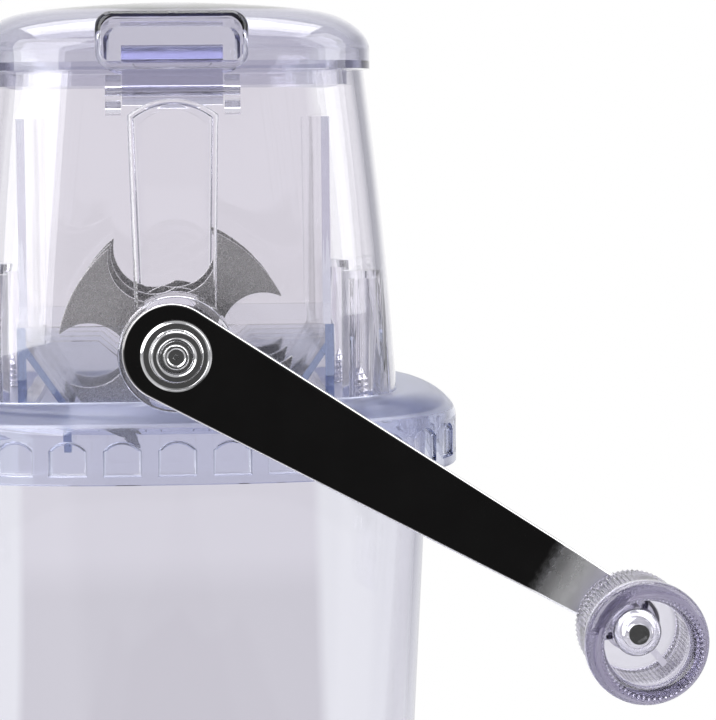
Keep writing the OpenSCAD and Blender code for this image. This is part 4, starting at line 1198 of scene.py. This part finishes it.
class CRUSHER_OT_crank_arm(Operator):
    """Build the tapering crank arm with its bend and its rounded edges, painted bright"""

    bl_idname = "crusher.crank_arm"
    bl_label = "Crank arm"

    def outline(self, shape):
        """The arm seen from the front, its eye along +X."""
        run = shape.length + shape.heel
        up = math.degrees(math.acos((shape.hub_r - shape.tip_r) / run))
        low = math.degrees(math.acos((shape.hub_r - shape.low) / run))
        tip = arc(shape.length, 0, shape.low, -low, -low, 1)[:1]
        reach = math.sqrt(shape.tip_r ** 2 - shape.low ** 2)
        start = math.degrees(math.atan2(-shape.low, reach))
        return (arc(-shape.heel, 0, shape.hub_r, up, 360 - low, 72)
                + tip + [(shape.length + reach * 0.6, -shape.low)]
                + arc(shape.length, 0, shape.tip_r, start, up, 24))

    def bend(self, bm, shape):
        """Push the outer end forward in a smooth S."""
        first, last = shape.length - shape.jog_from, shape.length - shape.jog_to
        for u in steps(16):
            bmesh.ops.bisect_plane(bm, geom=bm.verts[:] + bm.edges[:] + bm.faces[:], dist=1e-7,
                                   plane_co=(blend(first, last, u), 0, 0), plane_no=(1, 0, 0))
        for vert in bm.verts:
            u = min(1.0, max(0.0, (vert.co.x - first) / (last - first)))
            vert.co.y -= shape.jog * (1 - math.cos(math.pi * u)) / 2

    def execute(self, context):
        plan = Plan(context.scene)
        shape = plan.crank
        bm = prism(self.outline(shape), -shape.thick, 0.0)
        round_edges(bm, shape.edge_round, lambda v: v.co.y < TINY - shape.thick, 3)
        round_edges(bm, shape.edge_round / 2, lambda v: v.co.y > -TINY, 2)
        self.bend(bm, shape)
        arm = moved(bm, plan.along_crank() @ Matrix.Translation((0, plan.crank_back, 0)))
        drive = shape.drive / 2 + SLIP
        hole = moved(block((-drive, plan.crank_face - PAST, -drive), (drive, plan.crank_back + PAST, drive)),
                     plan.along_crank())
        eye = rod(plan.knob.stud_r - MM, plan.tip_face - PAST, plan.crank_back + PAST, plan.knob_x,
                  plan.knob_z)
        finish(cut(arm, hole, eye), "crank_arm_plate", "crank_arm", "crank", look("arm"))
        return {"FINISHED"}


class CRUSHER_OT_crank_hub(Operator):
    """Build the serrated lock washer, cap ring and crank screw"""

    bl_idname = "crusher.crank_hub"
    bl_label = "Crank hub"

    def washer(self, plan):
        """The lock washer, with fine teeth in its sunk ring."""
        shape, face, t, teeth = plan.crank, plan.crank_face, plan.crank.washer_t, 64
        r = shape.washer_r

        def serrated(turn, section):
            radius, height, tooth = section
            up = height + tooth * (1 if round(turn / math.tau * teeth * 2) % 2 else -1)
            return radius * math.cos(turn), radius * math.sin(turn), up

        # In from the edge, down from the top and tooth height, all in mm.
        top = ((0.0, 0.4, 0.0), (0.12, 0.12, 0.0), (0.45, 0.0, 0.0), (0.7, 0.2, 0.0), (0.9, 0.25, 0.02),
               (1.8, 0.25, 0.02), (2.1, 0.25, 0.0), (2.4, 0.0, 0.0))
        rings = [(r - 0.15 * MM, 0, 0), (r, 0.15 * MM, 0)]
        rings += [(r - back * MM, t - down * MM, tooth * MM) for back, down, tooth in top]
        bm = ring_solid(full_turns(teeth * 2), rings, serrated)
        washer = cut(moved(bm, plan.at_axle(face) @ OUTWARDS),
                     rod(shape.bore, face - t - PAST, face + PAST, z=plan.axle_z, segments=64))
        finish(washer, "crank_washer_ring", "crank_washer", "crank", look("plate"))

    def cap(self, plan):
        """The cap ring, dished towards the screw."""
        shape, bore = plan.crank, plan.crank.bore
        c, s, t = shape.cap_r, shape.screw_r, shape.cap_t
        outside = ((0.0, 0.62), (0.1, 0.82), (0.35, 0.96), (0.7, 1.0))      # mm in from the edge, share up
        inside = ((1.7, 1.0), (1.4, 0.96), (1.1, 0.84), (0.6, 0.5))         # mm out from the screw, share up
        ring = [(bore, 0), (c - 0.1 * MM, 0), (c, 0.1 * MM)]
        ring += [(c - back * MM, t * share) for back, share in outside]
        ring += [(s + out * MM, t * share) for out, share in inside]
        ring += [(bore, t * 0.5), (bore, 0)]
        low = shape.washer_t - plan.crank_face
        finish(lathe([(u, low + v) for u, v in ring], 144, (0, 0, plan.axle_z)),
               "crank_cap_ring", "crank_cap", "crank", look("plate"))

    def screw(self, plan):
        """The crank screw with its dished, dimpled head."""
        shape, s, shank = plan.crank, plan.crank.screw_r, plan.crank.shank_r
        seat = shape.washer_t - plan.crank_face + shape.cap_t * 0.5
        crown = ((0.0, 1.2), (0.1, 1.6), (0.35, 1.85), (0.7, 1.9))          # mm in from the edge, mm up
        dish = ((0.0, 0.9), (0.5, 0.9), (0.7, 1.15), (1.9, 1.15),           # mm out from the middle, mm up
                (2.1, 1.4), (2.35, 2.0), (0.0, 2.0))
        head = [(0, seat - 3 * MM), (shank, seat - 3 * MM), (shank, seat), (s, seat)]
        head += [(s - back * MM, seat + up * MM) for back, up in crown] + [(0, seat + 1.9 * MM)]
        socket = lathe([(u * MM, seat + v * MM) for u, v in dish], 72, (0, 0, plan.axle_z))
        thread = rod(shank, MM - seat, 8 * MM - plan.hopper.boss_y, z=plan.axle_z, segments=48)
        screw = cut(join(lathe(head, 96, (0, 0, plan.axle_z)), thread), socket)
        finish(screw, "crank_screw_head", "crank_screw", "crank", look("plate"))

    def execute(self, context):
        plan = Plan(context.scene)
        self.washer(plan)
        self.cap(plan)
        self.screw(plan)
        return {"FINISHED"}


class CRUSHER_OT_knob(Operator):
    """Build the hollow ribbed knob with its bearing tube and webs"""

    bl_idname = "crusher.knob"
    bl_label = "Knob"

    def ribbed(self, rings, ribs, fineness):
        """A round solid of (height, radius, rib depth) rings; fineness gives the points to each rib."""
        def at(turn, ring):
            height, radius, depth = ring
            radius -= depth * (1 - math.cos(turn * ribs)) / 2
            return radius * math.cos(turn), radius * math.sin(turn), height
        return ring_solid(full_turns(ribs * fineness), rings, at)

    def outside(self, shape):
        """The ribbed grip that flares into the smooth rim."""
        span, r, rim, depth = shape.length, shape.radius, shape.rim_r, shape.rib_depth
        grip, widest = span * 0.64, span * shape.widest
        flare, lip = (grip + 0.3 * MM, r + 0.28 * MM), (rim + shape.mouth_r) / 2
        rings = [(0, r - 0.7 * MM, 0), (0.2 * MM, r - 0.25 * MM, depth / 3)]
        rings += [(blend(0.7 * MM, grip - 0.7 * MM, u), r, depth) for u in steps(6)]
        rings += [(grip - 0.2 * MM, r + 0.12 * MM, depth * 2 / 3), (*flare, 0)]
        rings += [(blend(flare[0], widest, u), blend(flare[1], rim, math.sin(math.pi / 2 * u)), 0)
                  for u in steps(12, 1)]
        rings += [(blend(widest, span, math.sin(math.pi / 2 * u)),
                   blend(rim, lip, 1 - math.cos(math.pi / 2 * u)), 0) for u in steps(10, 1)]
        return self.ribbed(rings, shape.ribs, 8)

    def hollow(self, shape):
        """The finely ribbed inside that narrows to the mouth."""
        span, mouth, depth = shape.length, shape.mouth_r, shape.inner_rib_depth
        r = shape.radius - 0.45 * MM - shape.wall
        neck, lip = r - 0.25 * MM, (shape.rim_r + mouth) / 2
        rings = [(2 * MM, r - MM, 0), (2.3 * MM, r - 0.3 * MM, 0)]
        rings += [(blend(3 * MM, span * 0.7, u), r, depth) for u in steps(4)]
        rings += [(span * blend(0.76, 0.9, u), blend(neck, mouth, u * u * (3 - 2 * u)), 0) for u in steps(4)]
        rings += [(span * blend(0.9, 1.0, math.sin(math.pi / 2 * u)),
                   blend(mouth, lip, 1 - math.cos(math.pi / 2 * u)), 0) for u in steps(8, 1)]
        rings[-1] = (span + SLIVER, lip - SLIP, 0)
        return self.ribbed(rings, shape.ribs * 2, 4)

    def execute(self, context):
        plan = Plan(context.scene)
        shape, back = plan.knob, plan.knob_back
        front = back - shape.bearing
        place = plan.on_stud(back)
        tube = rod(shape.stud_r + 2.2 * MM, front, back, plan.knob_x, plan.knob_z)
        half = shape.web_t / 2
        webs = [moved(block((0, -half, 0), (shape.radius, half, shape.bearing - 2 * MM)),
                      place @ Matrix.Rotation(math.radians(degrees), 4, "Z")) for degrees in (70, 190, 310)]
        hollow = cut(moved(self.hollow(shape), place), tube, *webs)
        grip = cut(cut(moved(self.outside(shape), place), hollow),
                   rod(shape.stud_r + SLIP, front - PAST, back + PAST, plan.knob_x, plan.knob_z))
        finish(grip, "knob_grip", "knob", "knob", look("knob"))
        return {"FINISHED"}


class CRUSHER_OT_knob_stud(Operator):
    """Build the knob stud with its domed, serrated head"""

    bl_idname = "crusher.knob_stud"
    bl_label = "Knob stud"

    def head(self, shape):
        """The domed head on its flat seat, with fine teeth round its edge."""
        teeth, rise, ball, edge = 72, 3.2 * MM, 6.64 * MM, shape.stud_r + 2.18 * MM

        def toothed(turn, ring):
            radius, height, tooth = ring
            radius -= tooth * (1 if round(turn / math.tau * teeth * 2) % 2 else 0)
            return radius * math.cos(turn), radius * math.sin(turn), height

        rings = [(edge - 0.1 * MM, 0, 0), (edge, 0.15 * MM, 0.12 * MM)]
        for u in steps(20, 1)[:-1]:
            radius = edge * math.cos(math.pi / 2 * u)
            height = math.sqrt(ball ** 2 - radius ** 2) - (ball - rise) - 0.02 * MM
            rings.append((radius, height, 0.14 * MM if radius > edge * 0.78 else 0.0))
        return ring_solid(full_turns(teeth * 2), rings, toothed)

    def execute(self, context):
        plan = Plan(context.scene)
        shape, x, z, arm = plan.knob, plan.knob_x, plan.knob_z, plan.tip_face
        seat = plan.knob_back - shape.bearing - GAP
        stud = join(moved(self.head(shape), plan.on_stud(seat)),
                    rod(shape.stud_r, seat - 0.1 * MM, arm, x, z),
                    rod(shape.stud_r - MM - SLIP, arm - MM, arm + 3.4 * MM, x, z, 64),
                    rod(shape.stud_r, arm + 2.5 * MM, arm + 3.7 * MM, x, z))
        recess = join(rod(2.45 * MM, seat - 5 * MM, seat - 2.5 * MM, x, z, 64),
                      rod(2.1 * MM, seat - 5 * MM, seat - 1.3 * MM, x, z, 6))
        finish(cut(stud, recess), "knob_stud_head", "knob_stud", "crank", look("plate"))
        return {"FINISHED"}


class CRUSHER_OT_screws(Operator):
    """Build the four self-tapping housing screws"""

    bl_idname = "crusher.screws"
    bl_label = "Housing screws"

    def thread(self, plan):
        """The tapering thread, from the screw's head up to its tip."""
        shape, pitch = plan.fastener, plan.fastener.thread
        start = plan.deck_z - 0.5 * MM
        end = plan.deck_top + min(shape.screw_up, shape.post_h - 4 * MM)

        def at(turn, ring):
            height, radius = ring
            phase = (height / pitch - turn / math.tau) % 1.0
            crest = max(0.0, 1 - abs(phase - 0.5) / 0.24)
            radius *= 1 - THREAD_DEPTH * (1 - crest)
            return radius * math.cos(turn), radius * math.sin(turn), height

        rings = []
        for i in range(int((end - start) / (pitch / 10))):
            z = start + pitch / 10 * i
            taper = min(1.0, max(0.06, (end - z) / (3 * MM)))
            rings.append((z, shape.screw_r * taper))
        return ring_solid(full_turns(40), rings, at)

    def execute(self, context):
        plan = Plan(context.scene)
        shape, z, r = plan.fastener, plan.deck_z, plan.fastener.screw_r
        profile = [(0, -2 * MM), (r * 1.3, -2 * MM), (r * 1.7, -1.7 * MM), (r * 1.9, -1.1 * MM), (r * 1.9, 0),
                   (0, 0)]
        long, thin = 1.8 * MM, 0.4 * MM
        screws = []
        for x, y in corners(shape.screw_x, shape.screw_y):
            head = lathe(profile, 48, (x, y, z), Matrix.Identity(4))
            screw = join(head, moved(self.thread(plan), Matrix.Translation((x, y, 0))))
            cross = [block((x - a, y - b, z - 3 * MM), (x + a, y + b, z - MM))
                     for a, b in ((long, thin), (thin, long))]
            screws.append(cut(screw, *cross))
        finish(join(*screws), "housing_screw_set", "housing_screws", "head", look("plate"))
        return {"FINISHED"}


class CRUSHER_OT_pegs(Operator):
    """Build the four white locating pegs"""

    bl_idname = "crusher.pegs"
    bl_label = "Locating pegs"

    def execute(self, context):
        plan = Plan(context.scene)
        shape = plan.fastener
        r, half, long = shape.peg_r, shape.peg_r / 2, shape.peg_len
        tip = [(half + half * math.cos(math.pi / 2 * u), half - long - half * math.sin(math.pi / 2 * u))
               for u in steps(8)]
        profile = [(0, 0), (r, 0)] + tip + [(0, -long)]
        pegs = [lathe(profile, 48, (x, y, plan.deck_z), Matrix.Identity(4))
                for x, y in corners(shape.screw_x + 6.4 * MM, shape.screw_y - 6.5 * MM)]
        finish(join(*pegs), "locating_peg_set", "locating_pegs", "head", look("peg"))
        return {"FINISHED"}


class CRUSHER_OT_small_parts(Operator):
    """Give the axle, spacers, bushes and pins their materials"""

    bl_idname = "crusher.small_parts"
    bl_label = "Axle, spacers and bushes"

    def execute(self, context):
        plated = ("axle", "blade_spacers", "front_spacer", "rear_spacer", "knob_washer", "hinge_pin")
        for key, nodes in (("plate", plated), ("bush", ("front_bush", "rear_bush"))):
            for node in nodes:
                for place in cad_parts[node].material_slots:
                    place.material = look(key)
        return {"FINISHED"}


class CRUSHER_OT_stage(Operator):
    """Build the camera, floor, world and lamps"""

    bl_idname = "crusher.stage"
    bl_label = "Stage"

    # Name, azimuth in degrees, distance, height, size and watts; azimuth 0 is the crank side, 90 the right.
    LAMPS = (("left_softbox", -37.2, 0.44, 0.39, (0.344, 0.52), 2.6),
             ("right_softbox", 67.0, 0.36, 0.39, (0.262, 0.50), 1.1),
             ("top_softbox", 180.0, 0.10, 0.95, (0.7, 0.5), 5.0))
    LAMP_AIM = Vector((0, 0, 0.14))
    WHITE = (1.0, 1.0, 1.0)
    BLACK_CARD = (0.07, 0.07, 0.07)     # what mirrors show of the dark front
    PANEL_EDGES = (-0.0675, 0.0565)     # turns from the camera's place at which the lilac on the floor ends

    def execute(self, context):
        scene = context.scene
        scene.view_settings.view_transform = "Standard"
        scene.cycles.max_bounces = 24
        scene.cycles.transmission_bounces = 24
        scene.cycles.glossy_bounces = 12
        scene.cycles.transparent_max_bounces = 24
        self.camera(scene)
        self.floor(scene)
        self.world(scene)
        for lamp in self.LAMPS:
            self.lamp(*lamp)
        return {"FINISHED"}

    def camera(self, scene):
        """The scene's camera, from its settings."""
        settings = scene.crusher_stage
        data = bpy.data.cameras.new("camera")
        data.lens = settings.lens
        data.sensor_width = 36
        data.clip_start, data.clip_end = 0.01, 20
        scene.camera = linked("camera", data)
        scene.camera.location = settings.camera
        turn = (Matrix.Rotation(settings.yaw, 4, "Z") @ Matrix.Rotation(math.pi / 2 + settings.pitch, 4, "X")
                @ Matrix.Rotation(settings.roll, 4, "Z"))
        scene.camera.rotation_euler = turn.to_euler()

    def lamp(self, name, azimuth, distance, height, size, watts):
        """A soft lamp that shines on the object and stays unseen itself."""
        light = bpy.data.lights.new(name, "AREA")
        light.shape = "RECTANGLE"
        light.size, light.size_y = size
        light.energy = watts
        turn = math.radians(azimuth)
        lamp = linked(name, light)
        lamp.location = (distance * math.sin(turn), -distance * math.cos(turn), height)
        lamp.rotation_euler = (self.LAMP_AIM - lamp.location).to_track_quat("-Z", "Y").to_euler()
        lamp.visible_camera = False

    def floor(self, scene):
        """Pale floor with the object's shadow: white to the camera further out, lilac through the plastic."""
        bm = bmesh.new()
        bmesh.ops.create_circle(bm, cap_ends=True, segments=96, radius=scene.crusher_stage.floor_radius)
        floor = solid(bm, "floor")
        floor.location = (0, 0, FLOOR_Z)
        material, n = new_material("pale_floor")
        floor.data.materials.append(material)
        coordinates = n.coordinates()
        x, y = n.axes(coordinates)[:2]
        distance = n.add("ShaderNodeVectorMath", {0: coordinates}, operation="LENGTH").outputs["Value"]
        base = n.ramp(n.noise(coordinates, 400.0, 3.0), [(0.3, (0.80, 0.80, 0.81)),
                                                         (0.7, (0.84, 0.84, 0.85))])
        shader = n.add("ShaderNodeBsdfPrincipled", {"Base Color": base, "Roughness": 0.6})
        rays = n.add("ShaderNodeLightPath").outputs

        # Through the plastic: a lilac panel, paler far behind, pale sides next to it and grey far sides.
        panel = scene.crusher_colour.backdrop
        seen = n.mix(n.span(y, 0.56, 0.68), [0.84 * c for c in panel], [0.95 * c for c in panel])
        aside = n.math("ARCTAN2", x, n.math("ADD", y, CAMERA_BACK))
        seen = n.mix(n.within(aside, *self.PANEL_EDGES, 0.003), (0.93, 0.93, 0.95), seen)
        far = n.math("MULTIPLY", n.span(n.math("ABSOLUTE", aside), 0.16, 0.42), n.span(y, 0.05, 0.20))
        seen = n.mix(far, seen, (0.50, 0.50, 0.55))
        mirrored = n.mix(n.dark_front(x, y), (0.7, 0.7, 0.71), self.BLACK_CARD)
        shown = n.mix(rays["Is Glossy Ray"], self.WHITE, mirrored)
        shown = n.mix(rays["Is Transmission Ray"], shown, seen)
        glow = n.add("ShaderNodeEmission", {"Color": shown, "Strength": 1.0})
        surface = n.mix_shader(n.span(distance, 0.13, 0.26), shader.outputs[0], glow.outputs[0])
        n.add("ShaderNodeOutputMaterial", {"Surface": surface})

    def world(self, scene):
        """White to the camera, a lilac panel in grey through the plastic, a dark front for mirrors."""
        scene.world = bpy.data.worlds.new("studio")
        scene.world.use_nodes = True
        n = Nodes(scene.world.node_tree)
        rays = n.add("ShaderNodeLightPath").outputs
        x, y, z = n.axes(n.add("ShaderNodeTexCoord").outputs["Generated"])
        rise = n.math("ARCSINE", z)
        # Through the plastic: the lilac panel behind, and around it a grey that is darkest near the panel.
        behind = n.within(n.math("ARCTAN2", x, y), -0.125, 0.130, 0.02)
        behind = n.math("MULTIPLY", behind, n.within(rise, -0.6, 0.45, 0.1))
        around = n.ramp(n.span(y, -1.0, 1.0), [
            (0.0, (0.62, 0.62, 0.64)), (0.50, (0.44, 0.44, 0.48)), (0.78, (0.34, 0.34, 0.39)),
            (0.90, (0.36, 0.36, 0.41)), (0.95, (0.72, 0.72, 0.76)), (0.985, self.WHITE)])
        around = n.mix(n.span(z, 0.20, 0.60), around, (0.85, 0.85, 0.88))
        seen = n.mix(behind, around, scene.crusher_colour.backdrop)
        # In mirrors: pale grey in front that pales to white behind, and the dark front.
        ahead = n.math("MULTIPLY", n.dark_front(x, y), n.within(rise, -0.9, 0.26, 0.05))
        mirrored = n.ramp(n.span(y, -1.0, 1.0), [(0.0, (0.45, 0.45, 0.46)), (0.5, (0.75, 0.75, 0.76)),
                                                 (1.0, self.WHITE)])
        mirrored = n.mix(ahead, mirrored, self.BLACK_CARD)
        surface = n.add("ShaderNodeBackground", {"Color": (0.30, 0.30, 0.305)}).outputs[0]
        for ray, light in (("Is Glossy Ray", mirrored), ("Is Transmission Ray", seen),
                           ("Is Camera Ray", self.WHITE)):
            background = n.add("ShaderNodeBackground", {"Color": light})
            surface = n.mix_shader(rays[ray], surface, background.outputs[0])
        n.add("ShaderNodeOutputWorld", {"Surface": surface})


class CRUSHER_PT_build(Panel):
    """Lists the building steps and their sizes"""

    bl_idname = "CRUSHER_PT_build"
    bl_label = "Ice crusher"
    bl_space_type = "VIEW_3D"
    bl_region_type = "UI"
    bl_category = "Crusher"

    def draw(self, context):
        for operator in OPERATORS:
            self.layout.operator(operator.bl_idname)
        for key, group in SETTINGS.items():
            column = self.layout.column(align=True)
            column.label(text=key.capitalize())
            for name in group.__annotations__:
                column.prop(getattr(context.scene, "crusher_" + key), name)


OPERATORS = (CRUSHER_OT_stage, CRUSHER_OT_container, CRUSHER_OT_collar, CRUSHER_OT_hopper, CRUSHER_OT_lid,
             CRUSHER_OT_insert, CRUSHER_OT_blades, CRUSHER_OT_crank_arm, CRUSHER_OT_crank_hub,
             CRUSHER_OT_knob, CRUSHER_OT_knob_stud, CRUSHER_OT_screws, CRUSHER_OT_pegs,
             CRUSHER_OT_small_parts)
CLASSES = (*SETTINGS.values(), *OPERATORS, CRUSHER_PT_build)


def register():
    for cls in CLASSES:
        bpy.utils.register_class(cls)
    for key, group in SETTINGS.items():
        setattr(bpy.types.Scene, "crusher_" + key, PointerProperty(type=group))


def unregister():
    for key in SETTINGS:
        delattr(bpy.types.Scene, "crusher_" + key)
    for cls in reversed(CLASSES):
        bpy.utils.unregister_class(cls)


def main():
    register()
    bpy.ops.crusher.stage()
    bpy.ops.crusher.container()
    bpy.ops.crusher.collar()
    bpy.ops.crusher.hopper()
    bpy.ops.crusher.lid()
    bpy.ops.crusher.insert()
    bpy.ops.crusher.blades()
    bpy.ops.crusher.crank_arm()
    bpy.ops.crusher.crank_hub()
    bpy.ops.crusher.knob()
    bpy.ops.crusher.knob_stud()
    bpy.ops.crusher.screws()
    bpy.ops.crusher.pegs()
    bpy.ops.crusher.small_parts()


if __name__ == "__main__":
    main()
